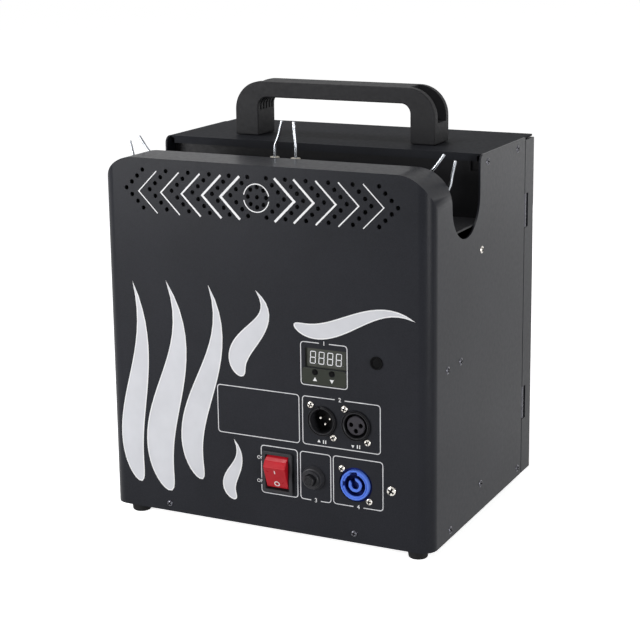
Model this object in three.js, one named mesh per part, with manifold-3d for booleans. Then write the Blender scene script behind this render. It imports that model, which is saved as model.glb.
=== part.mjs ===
// Stage flame machine: a folded steel box with three flame heads in a trough across its top.
// Millimetres, +Z up. Seen from the front, +X is right and +Y is back.
// While it is built, y is 0 on the front panel and z is 0 under the cover. The last lines move it so
// that its box is centred on x and y and its feet stand on z = 0.
import * as THREE from 'three';
import { mergeVertices } from 'three/addons/utils/BufferGeometryUtils.js';
import Module from 'manifold-3d';

const wasm = await Module();
wasm.setup();

// Sheet metal and clearances
const sheet = 1.5;
const fitGap = 0.3;
const overrun = 3;
const weldDistance = 0.001;
const bladeThickness = 1.2;

// Cover shell
const coverWidth = 281;
const coverSideDepth = 199.8;
const coverHeight = 287.5;
const frontBendRadius = 12;
const topCornerRadius = 28;
const topStripDepth = 39;
const notchWidth = 58;
const notchDepth = 57.5;
const notchMouthRadius = 6;

// Vent holes in the front panel
const ventHoleRadius = 1.8;
const ventCentreX = -2;
const ventDropFromTop = 24.3;
const ventArmStep = 5;
const ventFirstApex = 22.9;
const ventOuterFromSide = 24.8;
const ventChevronCount = 6;
const ventApexGrowth = 1.28;
const ventRingRadius = 7.8;

// Rear lid and carrying handle
const lidThickness = 1.6;
const lidOverTrough = 6;
const lidLipDepth = 6;
const lidLipInset = 3.5;
const lidFlangeDepth = 14;
const lidFlangeInset = 12;
const handleLength = 180;
const handleHeight = 45.4;
const handleDepth = 30;
const handleFromLidFront = 25;
const handleLegWidth = 21.5;
const handleGripThickness = 13;
const handleCornerRadius = 24;
const handleInnerRadius = 8;
const handleEdgeBevel = 2;
const handleSlotWidth = 16;
const handleSlotDepth = 9;
const handleSlotBottom = 17;

// Rear door, its hinges and its latch
const doorSeam = 1.2;
const doorPanDepth = 21;
const doorTopGap = 0.5;
const hingeBarrelRadius = 3.2;
const hingePinRadius = 1.4;
const hingePinClearance = 0.08;
const hingeSkinInset = 0.2;
const hingeAxisBehindSeam = 3.6;
const hingeHeight = 28;
const hingeSlotReach = 8;
const hingeLeafReach = 19;
const hingeUpperDrop = 59.5;
const hingeLowerCentre = 62;
const latchKnobRadius = 11;
const latchKnobHeight = 5;
const latchWingHeight = 6;
const latchWingWidth = 5;
const latchShaftRadius = 4;
const latchShaftClearance = 0.4;
const latchFromEdge = 22.5;
const latchHeight = 143;
const latchCamReach = 18;
const latchCamWidth = 10;
const latchCamThickness = 2;
const latchCamGap = 1.2;
const catchHeight = 26;
const catchLegReach = 14;
const catchPlateReach = 8;

// Base plate and feet
const baseFlangeHeight = 15;
const footHeight = 8.5;
const footTopRadius = 8.6;
const footBottomRadius = 7.4;
const footFromSide = 17;
const footFromFront = 15;
const footFromRear = 14;

// Flame trough and bulkhead
const troughUnderStrip = 8;
const troughBehindNotch = 12;
const troughDepth = 49.8;
const troughFlange = 12;
const troughReliefWidth = 11;
const troughReliefDepth = 12.5;
const headTilt = Math.PI / 7.2;
const sideHeadFromSide = 36.2;
const sideHeadDrop = 11.6;
const headFromTroughFront = 12.5;
const pocketBehindHead = 16;
const pocketOuterReach = 17;
const bulkheadGap = 0.4;
const bulkheadFlange = 12;
const bulkheadFlangeDrop = 19.5;

// Flame heads
const holderLength = 31;
const holderWidth = 20;
const holderThickness = 4;
const holderCorner = 5;
const electrodeSpacing = 18.1;
const insulatorRadius = 3.8;
const insulatorHeight = 49.5;
const insulatorBoreDepth = 8;
const electrodeRadius = 1.15;
const electrodeBoreClearance = 0.35;
const electrodeTipHeight = 76;
const electrodeTipSpacing = 9;
const electrodeKinkHeight = 58.5;
const electrodeBendHeight = 64;
const electrodeBendSpacing = 14.6;
const nozzleShankRadius = 4;
const nozzleHexRadius = 4.9;
const nozzleHexHeight = 6;
const nozzleTipRadius = 1.8;
const nozzleHeight = 20;
const nozzleBoreRadius = 0.8;
const nozzleBoreDepth = 6;
const nozzleShankBelow = 9;
const nozzleHexSides = 6;
const gasTubeRadius = 2.4;
const gasTubeHoleClearance = 0.6;
const gasTubeLead = 12;
const gasTubeFall = 7.2;
const gasTubeSag = 2.4;

// Fuel bay
const manifoldLength = 116;
const manifoldDepth = 18;
const manifoldHeight = 20;
const manifoldBelowTrough = 29.7;
const manifoldArmWidth = 26;
const manifoldArmReach = 44;
const outletPitch = 40;
const outletRise = 10;
const solenoidWidth = 24;
const solenoidDepth = 17;
const solenoidHeight = 31;
const solenoidCapRadius = 5.8;
const solenoidCapHeight = 3;
const plungerRadius = 2.9;
const plungerClearance = 0.35;
const plungerLength = 20;
const plungerBoreDepth = 24;
const canRadius = 32.5;
const canFromBulkhead = 44;
const canShoulderBelowManifold = 25;
const canDomeRadius = 12;
const canDomeHeight = 12;
const canCollarHeight = 6;
const canNeckRadius = 5.5;
const canNeckEngagement = 6;
const canNeckClearance = 0.4;
const cradleClearance = 0.6;
const cradleWall = 3.5;
const cradleHeight = 24;
const cradleFloor = 3;
const clipWidth = 18;
const clipThickness = 1.6;
const clipBelowShoulder = 61;
const clipStandWidth = 22;
const clipMouthAngle = 1.9;

// Electrics behind the front panel
const coilWidth = 56;
const coilDepth = 26;
const coilHeight = 42;
const coilBelowTrough = 97.7;
const coilTerminalRadius = 4;
const coilTerminalHeight = 8;
const supplyWidth = 37;
const supplyDepth = 76;
const supplyHeight = 100;
const supplyFrontY = 15;
const supplyBelowTrough = 151.7;
const boardWidth = 56;
const boardHeight = 46;
const boardThickness = 1.6;
const boardY = 12;
const boardFromSide = 86.5;
const boardCentreZ = 133.5;
const standoffRadius = 2.6;
const standoffInset = 2.5;

// Front panel fittings
const displayWidth = 34.5;
const displayHeight = 15.2;
const displayFromSide = 86.8;
const displayCentreZ = 142.9;
const displayRim = 1;
const displaySetback = 0.5;
const buttonRadius = 1.8;
const buttonClearance = 0.3;
const buttonPitch = 14.2;
const buttonsFromSide = 88.4;
const buttonZ = 131.9;
const buttonProud = 0.7;
const buttonTravel = 0.6;
const switchFromSide = 128.5;
const panelRowZ = 47.3;
const bezelWidth = 26;
const bezelHeight = 33;
const bezelProud = 2;
const bezelCorner = 1.5;
const switchBodyWidth = 23;
const switchBodyHeight = 29;
const switchBodyDepth = 24;
const rockerWidth = 20;
const rockerWindowClearance = 0.4;
const rockerHalfHeight = 12.4;
const rockerFaceHalf = 9;
const rockerFaceY = -5;
const rockerShoulderY = -1;
const rockerBackY = 5;
const rockerPivotY = 0.8;
const rockerTilt = Math.PI / 15;
const rockerWellDepth = 9;
const breakerFromSide = 97.8;
const breakerNutRadius = 9.5;
const breakerNutHeight = 3.6;
const breakerCollarRadius = 6.8;
const breakerCollarHeight = 2;
const breakerNeckRadius = 5.8;
const breakerBodyRadius = 9;
const breakerBodyDepth = 28;
const breakerBoreDepth = 5;
const resetRadius = 4.2;
const resetClearance = 0.35;
const resetProud = 9.5;
const signalInFromSide = 90;
const signalOutFromSide = 61.5;
const signalZ = 93.8;
const powerInFromSide = 62.2;
const powerInZ = 46.8;
const connectorClearance = 0.3;
const connectorFlangeWidth = 26;
const connectorFlangeHeight = 31;
const connectorFlangeThickness = 2;
const connectorFlangeCorner = 3;
const signalRingRadius = 11.8;
const signalRingProud = 1.8;
const signalBodyRadius = 11.2;
const signalBodyDepth = 24;
const signalWellRadius = 9.6;
const signalWellDepth = 13;
const signalPinRadius = 1.2;
const signalPinLength = 8;
const signalPinCircle = 4;
const signalInsertRadius = 7.8;
const signalInsertSetback = 1.2;
const signalHoleRadius = 1.3;
const powerRingRadius = 13.4;
const powerRingProud = 2.6;
const powerWellRadius = 11;
const powerInsertRadius = 7.2;
const powerBoreRadius = 5;
const powerBodyDepth = 30;
const powerWellDepth = 15;
const plugFromSide = 44.4;
const plugZ = 144.8;
const plugRadius = 4.2;
const plugHoleClearance = 0.3;
const plugRimProud = 0.9;
const plugRimWidth = 0.9;
const plugShank = 5;

// Sides that round shapes are drawn with
const fineSides = 24;
const roundSides = 16;
const smallSides = 10;
const ventSides = 6;
const cornerSteps = 6;
const notchSteps = 14;
const smallCornerSteps = 3;
const tubeSides = 6;
const tubeSteps = 14;
const electrodeSteps = 9;

// Places that follow from the sizes above
const halfWidth = coverWidth / 2;
const wallInsideX = halfWidth - sheet;
const fitX = wallInsideX - fitGap;
const panelBackY = sheet + fitGap;
const panelFaceY = -fitGap;
const doorFrontY = coverSideDepth + doorSeam;
const doorBackY = doorFrontY + doorPanDepth;
const lidBottomZ = coverHeight + fitGap;
const lidTopZ = lidBottomZ + lidThickness;
const notchRearY = topStripDepth + notchWidth;
const notchBottom = coverHeight - notchDepth;
const troughFrontY = topStripDepth - troughUnderStrip;
const troughRearY = notchRearY + troughBehindNotch;
const troughFloorZ = coverHeight - troughDepth;
const headY = troughFrontY + headFromTroughFront;
const sideHeadX = halfWidth - sideHeadFromSide;
const sideHeadZ = troughFloorZ - sideHeadDrop;
const pocketRearY = headY + pocketBehindHead;
const lidFrontY = troughRearY - lidOverTrough;
const handleFrontY = lidFrontY + handleFromLidFront;
const hingeUpperCentre = coverHeight - hingeUpperDrop;
const bulkheadY = troughRearY + sheet + bulkheadGap;
const bulkheadFlangeTop = coverHeight - bulkheadFlangeDrop;
const fuelBayY = bulkheadY + sheet + fitGap;
const baseTopZ = sheet + fitGap;
const manifoldBottom = troughFloorZ - manifoldBelowTrough;
const outletZ = manifoldBottom + outletRise;
const canCentreY = fuelBayY + canFromBulkhead;
const canShoulderZ = manifoldBottom - canShoulderBelowManifold;
const clipCentreZ = canShoulderZ - clipBelowShoulder;
const coilBottom = troughFloorZ - coilBelowTrough;
const coilPitch = (fitX * 2 - supplyWidth) / 3;
const coilCentreX = -supplyWidth / 2;
const supplyBottom = troughFloorZ - supplyBelowTrough;
const boardCentreX = halfWidth - boardFromSide;
const displayCentreX = halfWidth - displayFromSide;
const buttonCentreX = halfWidth - buttonsFromSide;
const switchCentreX = halfWidth - switchFromSide;
const breakerCentreX = halfWidth - breakerFromSide;
const signalInX = halfWidth - signalInFromSide;
const signalOutX = halfWidth - signalOutFromSide;
const powerInX = halfWidth - powerInFromSide;
const plugX = halfWidth - plugFromSide;

// A closed mesh from a three.js geometry, as a solid that can be joined and cut
function solid(geometry) {
  const bare = geometry.index ? geometry.toNonIndexed() : geometry.clone();
  bare.deleteAttribute('normal');
  bare.deleteAttribute('uv');
  const merged = mergeVertices(bare, weldDistance);
  return new wasm.Manifold(new wasm.Mesh({
    numProp: 3,
    vertProperties: new Float32Array(merged.attributes.position.array),
    triVerts: new Uint32Array(merged.index.array),
  }));
}

function geometryOf(body) {
  const mesh = body.getMesh();
  const geometry = new THREE.BufferGeometry();
  const places = new Float32Array(mesh.vertProperties);
  geometry.setAttribute('position', new THREE.Float32BufferAttribute(places, mesh.numProp));
  geometry.setIndex(new THREE.BufferAttribute(new Uint32Array(mesh.triVerts), 1));
  geometry.computeVertexNormals();
  return geometry;
}

function join(...bodies) {
  return bodies.reduce((whole, body) => whole.add(body));
}

function cut(body, ...cutters) {
  return cutters.reduce((rest, cutter) => rest.subtract(cutter), body);
}

// A box between two corners
function block(x0, x1, y0, y1, z0, z1) {
  const box = new THREE.BoxGeometry(x1 - x0, y1 - y0, z1 - z0);
  box.translate((x0 + x1) / 2, (y0 + y1) / 2, (z0 + z1) / 2);
  return solid(box);
}

// An outline in x and y, raised from z0 to z1
function prismZ(shape, z0, z1, curveSegments = cornerSteps) {
  const bar = new THREE.ExtrudeGeometry(shape, { depth: z1 - z0, bevelEnabled: false, curveSegments });
  bar.translate(0, 0, z0);
  return solid(bar);
}

// An outline in x and z, carried from y0 to y1
function prismY(shape, y0, y1, curveSegments = cornerSteps) {
  const bar = new THREE.ExtrudeGeometry(shape, { depth: y1 - y0, bevelEnabled: false, curveSegments });
  bar.rotateX(Math.PI / 2);
  bar.translate(0, y1, 0);
  return solid(bar);
}

// An outline in y and z, carried from x0 to x1
function prismX(shape, x0, x1, curveSegments = cornerSteps) {
  const bar = new THREE.ExtrudeGeometry(shape, { depth: x1 - x0, bevelEnabled: false, curveSegments });
  const turn = new THREE.Matrix4().makeBasis(
    new THREE.Vector3(0, 1, 0), new THREE.Vector3(0, 0, 1), new THREE.Vector3(1, 0, 0));
  bar.applyMatrix4(turn);
  bar.translate(x0, 0, 0);
  return solid(bar);
}

// A round bar, upright from z0 to z1
function barZ(x, y, radius, z0, z1, sides = roundSides, topRadius = radius) {
  const bar = new THREE.CylinderGeometry(topRadius, radius, z1 - z0, sides);
  bar.rotateX(Math.PI / 2);
  bar.translate(x, y, (z0 + z1) / 2);
  return solid(bar);
}

// A round bar, level from y0 to y1
function barY(x, z, radius, y0, y1, sides = roundSides, backRadius = radius) {
  const bar = new THREE.CylinderGeometry(backRadius, radius, y1 - y0, sides);
  bar.translate(x, (y0 + y1) / 2, z);
  return solid(bar);
}

// A shape turned from a profile of [radius, height] pairs that starts and ends on the axis
function turned(profile, x, y, z, sides = roundSides) {
  const points = profile.map(([radius, height]) => new THREE.Vector2(radius, height));
  const body = new THREE.LatheGeometry(points, sides);
  body.rotateX(Math.PI / 2);
  body.translate(x, y, z);
  return solid(body);
}

function rectangle(x0, x1, z0, z1) {
  const shape = new THREE.Shape();
  shape.moveTo(x0, z0);
  shape.lineTo(x1, z0);
  shape.lineTo(x1, z1);
  shape.lineTo(x0, z1);
  shape.closePath();
  return shape;
}

function polygon(points) {
  return new THREE.Shape(points.map(([a, b]) => new THREE.Vector2(a, b)));
}

// A rectangle with four rounded corners, about its centre
function roundedRectangle(centreA, centreB, width, height, radius) {
  const a0 = centreA - width / 2;
  const a1 = centreA + width / 2;
  const b0 = centreB - height / 2;
  const b1 = centreB + height / 2;
  const shape = new THREE.Shape();
  shape.moveTo(a0 + radius, b0);
  shape.lineTo(a1 - radius, b0);
  shape.absarc(a1 - radius, b0 + radius, radius, -Math.PI / 2, 0);
  shape.lineTo(a1, b1 - radius);
  shape.absarc(a1 - radius, b1 - radius, radius, 0, Math.PI / 2);
  shape.lineTo(a0 + radius, b1);
  shape.absarc(a0 + radius, b1 - radius, radius, Math.PI / 2, Math.PI);
  shape.lineTo(a0, b0 + radius);
  shape.absarc(a0 + radius, b0 + radius, radius, Math.PI, (Math.PI * 3) / 2);
  return shape;
}

// Plan of the box: two square corners at the back and two rounded ones at the front
function planOutline(inset, backY) {
  const half = halfWidth - inset;
  const radius = frontBendRadius - inset;
  const shape = new THREE.Shape();
  shape.moveTo(half, backY);
  shape.lineTo(-half, backY);
  shape.lineTo(-half, inset + radius);
  shape.absarc(-half + radius, inset + radius, radius, Math.PI, (Math.PI * 3) / 2);
  shape.lineTo(half - radius, inset);
  shape.absarc(half - radius, inset + radius, radius, -Math.PI / 2, 0);
  shape.closePath();
  return shape;
}

// Front view of the box: two square corners below and two rounded ones on top
function frontOutline(inset, bottomZ) {
  const half = halfWidth - inset;
  const radius = topCornerRadius - inset;
  const top = coverHeight - inset;
  const shape = new THREE.Shape();
  shape.moveTo(-half, bottomZ);
  shape.lineTo(half, bottomZ);
  shape.lineTo(half, top - radius);
  shape.absarc(half - radius, top - radius, radius, 0, Math.PI / 2);
  shape.lineTo(-half + radius, top);
  shape.absarc(-half + radius, top - radius, radius, Math.PI / 2, Math.PI);
  shape.closePath();
  return shape;
}

const machine = new THREE.Group();

function finish(color, roughness, metalness) {
  return { color, roughness, metalness };
}

const powderBlack = finish(0x36373a, 0.55, 0.35);
const plainSteel = finish(0x8d9096, 0.4, 0.8);
const brightSteel = finish(0xc9ccd1, 0.25, 0.95);
const brassMetal = finish(0xb08d4a, 0.35, 0.9);
const aluminiumMetal = finish(0xa9adb3, 0.45, 0.8);
const mouldedBlack = finish(0x2c2c2e, 0.7, 0);
const rubberBlack = finish(0x1c1c1d, 0.9, 0);
const glossBlack = finish(0x18181a, 0.35, 0);
const ceramicWhite = finish(0xe4dfd2, 0.5, 0);
const rockerRed = finish(0xc22030, 0.35, 0);
const inletBlue = finish(0x3f66d0, 0.4, 0);
const boardGreen = finish(0x1f5a3a, 0.6, 0);
const canSilver = finish(0xb9bcc2, 0.3, 0.8);

// Adds one named piece to the machine or to a group of it
function piece(name, body, look, parent = machine) {
  const mesh = new THREE.Mesh(geometryOf(body), new THREE.MeshStandardMaterial(look));
  mesh.name = name;
  parent.add(mesh);
  return mesh;
}

// Cover shell: front panel, both sides and the strip over the top
function ventCutters() {
  const ventZ = coverHeight - ventDropFromTop;
  const places = [[ventCentreX, ventZ]];
  const ringCount = 8;
  for (let i = 0; i < ringCount; i += 1) {
    const angle = (i * 2 * Math.PI) / ringCount;
    places.push([ventCentreX + ventRingRadius * Math.cos(angle), ventZ + ventRingRadius * Math.sin(angle)]);
  }
  const armCount = 3;
  const gaps = ventChevronCount - 1;
  const growth = (ventApexGrowth * gaps * (gaps - 1)) / 2;
  const pitch = (halfWidth - ventOuterFromSide - ventFirstApex - growth) / gaps;
  for (const side of [-1, 1]) {
    for (let k = 0; k < ventChevronCount; k += 1) {
      const apex = ventFirstApex + pitch * k + (ventApexGrowth * k * (k - 1)) / 2;
      for (let j = -armCount; j <= armCount; j += 1) {
        const inward = ventArmStep * Math.abs(j);
        places.push([ventCentreX + side * (apex - inward), ventZ + ventArmStep * j]);
      }
    }
  }
  return places.map(([x, z]) => barY(x, z, ventHoleRadius, -overrun, sheet + overrun, ventSides));
}

function notchCutter() {
  const radius = notchWidth / 2;
  const middleY = topStripDepth + radius;
  const mouthZ = lidTopZ - notchMouthRadius;
  const shape = new THREE.Shape();
  shape.moveTo(topStripDepth, lidTopZ + overrun);
  shape.lineTo(topStripDepth, notchBottom + radius);
  shape.absarc(middleY, notchBottom + radius, radius, Math.PI, Math.PI * 2);
  shape.lineTo(notchRearY, mouthZ);
  shape.absarc(notchRearY + notchMouthRadius, mouthZ, notchMouthRadius, Math.PI, Math.PI / 2, true);
  shape.lineTo(notchRearY + notchMouthRadius, lidTopZ + overrun);
  shape.closePath();
  return prismX(shape, -halfWidth - overrun, halfWidth + overrun, notchSteps);
}

function frontCutters() {
  const backY = sheet + overrun;
  const windowShape = rectangle(
    displayCentreX - displayWidth / 2, displayCentreX + displayWidth / 2,
    displayCentreZ - displayHeight / 2, displayCentreZ + displayHeight / 2);
  const switchShape = rectangle(
    switchCentreX - switchBodyWidth / 2 - fitGap, switchCentreX + switchBodyWidth / 2 + fitGap,
    panelRowZ - switchBodyHeight / 2 - fitGap, panelRowZ + switchBodyHeight / 2 + fitGap);
  const cutters = [prismY(windowShape, -overrun, backY), prismY(switchShape, -overrun, backY)];
  const ringHole = signalRingRadius + connectorClearance;
  cutters.push(barY(signalInX, signalZ, ringHole, -overrun, backY, fineSides));
  cutters.push(barY(signalOutX, signalZ, ringHole, -overrun, backY, fineSides));
  cutters.push(barY(powerInX, powerInZ, powerRingRadius + connectorClearance, -overrun, backY, fineSides));
  cutters.push(barY(breakerCentreX, panelRowZ, breakerNeckRadius + fitGap, -overrun, backY));
  cutters.push(barY(plugX, plugZ, plugRadius + plugHoleClearance, -overrun, backY));
  for (const side of [-1, 1]) {
    const x = buttonCentreX + (side * buttonPitch) / 2;
    cutters.push(barY(x, buttonZ, buttonRadius + buttonClearance, -overrun, backY, smallSides));
  }
  return cutters;
}

// The box as seen in plan, up to a height, with its front strip cut to the rounded front view
function coverBody(inset, bottomZ, backY, topZ) {
  const above = cut(
    block(
      -halfWidth - overrun, halfWidth + overrun, -overrun, topStripDepth,
      coverHeight - topCornerRadius, topZ + overrun),
    prismY(frontOutline(inset, 0), -overrun * 2, topStripDepth + overrun));
  return cut(prismZ(planOutline(inset, backY), bottomZ, topZ), above);
}

function makeCover() {
  const outside = coverBody(0, 0, coverSideDepth, lidTopZ);
  const inside = coverBody(sheet, -overrun, coverSideDepth + overrun, lidTopZ + overrun);
  const shell = cut(outside, inside, notchCutter(), ...frontCutters(), ...ventCutters());
  piece('cover_shell', shell, powderBlack);
}

// Base plate with its upturned flanges
function makeBase() {
  const outside = sheet + fitGap;
  const backY = coverSideDepth - fitGap;
  const pan = cut(
    prismZ(planOutline(outside, backY), 0, baseFlangeHeight),
    prismZ(planOutline(outside + sheet, backY - sheet), sheet, baseFlangeHeight + overrun));
  piece('base_plate', pan, plainSteel);
  const footX = halfWidth - footFromSide;
  const rows = [['front', footFromFront], ['rear', coverSideDepth - footFromRear]];
  for (const [row, y] of rows) {
    for (const [label, side] of [['left', -1], ['right', 1]]) {
      const foot = barZ(
        side * footX, y, footBottomRadius, -fitGap - footHeight, -fitGap, roundSides, footTopRadius);
      piece(`foot_${row}_${label}`, foot, rubberBlack);
    }
  }
}

// Flame trough: two walls, a floor, and a sloping pocket for each side head
function pocketOutline(side, inset) {
  const along = [Math.cos(headTilt), -Math.sin(headTilt)];
  const up = [Math.sin(headTilt), Math.cos(headTilt)];
  const floorZ = troughFloorZ + overrun;
  const seat = [sideHeadX - inset * up[0], sideHeadZ - fitGap - inset * up[1]];
  const reach = pocketOuterReach + inset;
  const corner = [seat[0] + reach * along[0], seat[1] + reach * along[1]];
  const innerX = seat[0] + ((floorZ - seat[1]) / along[1]) * along[0];
  const outerX = corner[0] + ((floorZ - corner[1]) / up[1]) * up[0];
  return polygon([[side * innerX, floorZ], [side * corner[0], corner[1]], [side * outerX, floorZ]]);
}

function makeTrough() {
  const frontTop = coverHeight - sheet - fitGap;
  const floorBottom = troughFloorZ - sheet;
  const channel = join(
    block(-fitX, fitX, troughFrontY - sheet, troughFrontY, floorBottom, frontTop),
    block(-fitX, fitX, troughFrontY - sheet, troughRearY + sheet, floorBottom, troughFloorZ),
    block(-fitX, fitX, troughRearY, troughRearY + sheet, floorBottom, coverHeight),
    block(-fitX, fitX, troughFrontY - troughFlange, troughFrontY, frontTop - sheet, frontTop),
    block(-fitX, fitX, troughRearY, troughRearY + troughFlange, coverHeight - sheet, coverHeight));
  const roundedFront = prismY(frontOutline(sheet + fitGap, 0), 0, topStripDepth);
  const squareRear = block(-fitX, fitX, topStripDepth, troughRearY + troughFlange, 0, coverHeight);
  let trough = channel.intersect(join(roundedFront, squareRear));
  for (const side of [-1, 1]) {
    const inner = prismY(pocketOutline(side, 0), troughFrontY, pocketRearY);
    const outer = prismY(pocketOutline(side, sheet), troughFrontY - sheet, pocketRearY + sheet);
    const below = block(-fitX, fitX, 0, coverSideDepth, 0, troughFloorZ);
    trough = cut(join(trough, outer.intersect(below)), inner);
    const reliefX = [side * (fitX - troughReliefWidth), side * (fitX + overrun)].sort((a, b) => a - b);
    trough = cut(trough, block(
      ...reliefX, troughRearY - overrun, troughRearY + troughFlange + overrun,
      coverHeight - troughReliefDepth, coverHeight + overrun));
    const shankHole = new THREE.CylinderGeometry(
      nozzleShankRadius + fitGap, nozzleShankRadius + fitGap, nozzleShankBelow * 2, smallSides);
    shankHole.rotateX(Math.PI / 2);
    shankHole.rotateY(side * headTilt);
    shankHole.translate(side * sideHeadX, headY, sideHeadZ);
    trough = cut(trough, solid(shankHole));
  }
  const centreHole = barZ(
    0, headY, nozzleShankRadius + fitGap, floorBottom - overrun, troughFloorZ + overrun, smallSides);
  piece('flame_trough', cut(trough, centreHole), powderBlack);
}

// Bulkhead: the wall between the electrics and the fuel bay
function makeBulkhead() {
  const backY = bulkheadY + sheet;
  const top = coverHeight - sheet - fitGap;
  let wall = block(-fitX, fitX, bulkheadY, backY, baseTopZ, top);
  for (const side of [-1, 1]) {
    const x = [side * (fitX - sheet), side * fitX].sort((a, b) => a - b);
    wall = wall.add(block(
      ...x, bulkheadY, bulkheadY + bulkheadFlange, baseTopZ + baseFlangeHeight, bulkheadFlangeTop));
    const corner = [side * (fitX - sheet - fitGap), side * (fitX + overrun)].sort((a, b) => a - b);
    wall = wall.subtract(block(
      ...corner, bulkheadY - overrun, backY + overrun, 0, baseFlangeHeight + fitGap));
  }
  for (const index of [-1, 0, 1]) {
    wall = wall.subtract(barY(
      index * outletPitch, outletZ, gasTubeRadius + gasTubeHoleClearance,
      bulkheadY - overrun, backY + overrun, smallSides));
  }
  piece('bulkhead', wall, plainSteel);
}

// Rear lid: top plate, front lip and two side flanges
function makeLid() {
  const flangeX = fitX - sheet;
  const plate = block(-fitX, fitX, lidFrontY, doorBackY, lidBottomZ, lidTopZ);
  const lip = block(
    -fitX + lidLipInset, fitX - lidLipInset, lidFrontY, lidFrontY + sheet,
    lidTopZ - lidLipDepth, lidTopZ);
  let lid = plate.add(lip);
  const flangeFront = troughRearY + troughFlange + lidFlangeInset / 2;
  for (const side of [-1, 1]) {
    const x = [side * flangeX, side * fitX].sort((a, b) => a - b);
    lid = lid.add(block(
      ...x, flangeFront, coverSideDepth - lidFlangeInset, lidBottomZ - lidFlangeDepth, lidTopZ));
  }
  piece('rear_lid', lid, powderBlack);
}

// Carrying handle: a moulded bridge with a slot down each end
function makeHandle() {
  const half = handleLength / 2;
  const baseZ = lidTopZ + fitGap;
  const topZ = lidTopZ + handleHeight;
  const innerHalf = half - handleLegWidth;
  const innerTop = topZ - handleGripThickness;
  const shape = new THREE.Shape();
  shape.moveTo(-half, baseZ);
  shape.lineTo(-innerHalf, baseZ);
  shape.lineTo(-innerHalf, innerTop - handleInnerRadius);
  shape.absarc(
    -innerHalf + handleInnerRadius, innerTop - handleInnerRadius, handleInnerRadius,
    Math.PI, Math.PI / 2, true);
  shape.lineTo(innerHalf - handleInnerRadius, innerTop);
  shape.absarc(
    innerHalf - handleInnerRadius, innerTop - handleInnerRadius, handleInnerRadius, Math.PI / 2, 0, true);
  shape.lineTo(innerHalf, baseZ);
  shape.lineTo(half, baseZ);
  shape.lineTo(half, topZ - handleCornerRadius);
  shape.absarc(half - handleCornerRadius, topZ - handleCornerRadius, handleCornerRadius, 0, Math.PI / 2);
  shape.lineTo(-half + handleCornerRadius, topZ);
  shape.absarc(
    -half + handleCornerRadius, topZ - handleCornerRadius, handleCornerRadius, Math.PI / 2, Math.PI);
  shape.closePath();
  const backY = handleFrontY + handleDepth;
  let handle = prismY(shape, handleFrontY, backY);
  const edge = block(
    -innerHalf, innerHalf, handleFrontY - overrun, handleFrontY + handleEdgeBevel,
    innerTop - overrun, innerTop + handleEdgeBevel);
  handle = cut(handle, edge);
  const slotFront = handleFrontY + (handleDepth - handleSlotWidth) / 2;
  const slotBack = slotFront + handleSlotWidth;
  for (const side of [-1, 1]) {
    const x = [side * (half - handleSlotDepth), side * (half + overrun)].sort((a, b) => a - b);
    const slot = block(...x, slotFront, slotBack, baseZ + handleSlotBottom, topZ - handleCornerRadius);
    const rim = side * (half - handleCornerRadius);
    const ring = new THREE.Shape();
    const ringEnds = side > 0 ? [0, Math.PI / 2] : [Math.PI / 2, Math.PI];
    ring.absarc(rim, topZ - handleCornerRadius, handleCornerRadius + overrun, ...ringEnds);
    ring.absarc(
      rim, topZ - handleCornerRadius, handleCornerRadius - handleSlotDepth, ...ringEnds.reverse(), true);
    ring.closePath();
    handle = cut(handle, slot, prismY(ring, slotFront, slotBack));
  }
  piece('carry_handle', handle, mouldedBlack);
}

// Rear door and what hangs and holds it
const hingeAxisX = halfWidth - hingeSkinInset - hingeBarrelRadius;
const hingeAxisY = doorFrontY + hingeAxisBehindSeam;
const latchX = -halfWidth + latchFromEdge;

function makeDoor() {
  const topZ = coverHeight - doorTopGap;
  const pan = cut(
    block(-halfWidth, halfWidth, doorFrontY, doorBackY, 0, topZ),
    block(-wallInsideX, wallInsideX, doorFrontY - overrun, doorBackY - sheet, sheet, topZ - sheet));
  const slots = [hingeUpperCentre, hingeLowerCentre].map((centreZ) => block(
    wallInsideX - overrun, halfWidth + overrun, doorFrontY - overrun, doorFrontY + hingeSlotReach,
    centreZ - hingeHeight / 2 - fitGap, centreZ + hingeHeight / 2 + fitGap));
  const shaftHole = barY(
    latchX, latchHeight, latchShaftRadius + latchShaftClearance,
    doorBackY - sheet - overrun, doorBackY + overrun);
  piece('rear_door', cut(pan, ...slots, shaftHole), powderBlack);
}

function makeHinge(label, centreZ) {
  const bottom = centreZ - hingeHeight / 2;
  const segment = hingeHeight / 3;
  const leafX = [wallInsideX - fitGap - bladeThickness, wallInsideX - fitGap];
  const pinHole = barZ(
    hingeAxisX, hingeAxisY, hingePinRadius + hingePinClearance,
    bottom - overrun, bottom + hingeHeight + overrun, smallSides);
  const ends = [[bottom, bottom + segment - fitGap], [bottom + 2 * segment + fitGap, bottom + hingeHeight]];
  let fixed = block(
    ...leafX, coverSideDepth - hingeLeafReach, coverSideDepth, bottom, bottom + hingeHeight);
  for (const [z0, z1] of ends) {
    fixed = join(
      fixed,
      barZ(hingeAxisX, hingeAxisY, hingeBarrelRadius, z0, z1, smallSides),
      block(...leafX, coverSideDepth - hingeLeafReach, hingeAxisY, z0, z1));
  }
  piece(`${label}_hinge_cover_leaf`, cut(fixed, pinHole), brightSteel);
  const z0 = bottom + segment;
  const z1 = bottom + 2 * segment;
  const moving = join(
    barZ(hingeAxisX, hingeAxisY, hingeBarrelRadius, z0, z1, smallSides),
    block(...leafX, hingeAxisY, doorBackY - sheet - fitGap, z0, z1));
  piece(`${label}_hinge_door_leaf`, cut(moving, pinHole), brightSteel);
  piece(
    `${label}_hinge_pin`,
    barZ(hingeAxisX, hingeAxisY, hingePinRadius, bottom, bottom + hingeHeight, smallSides), plainSteel);
}

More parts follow.
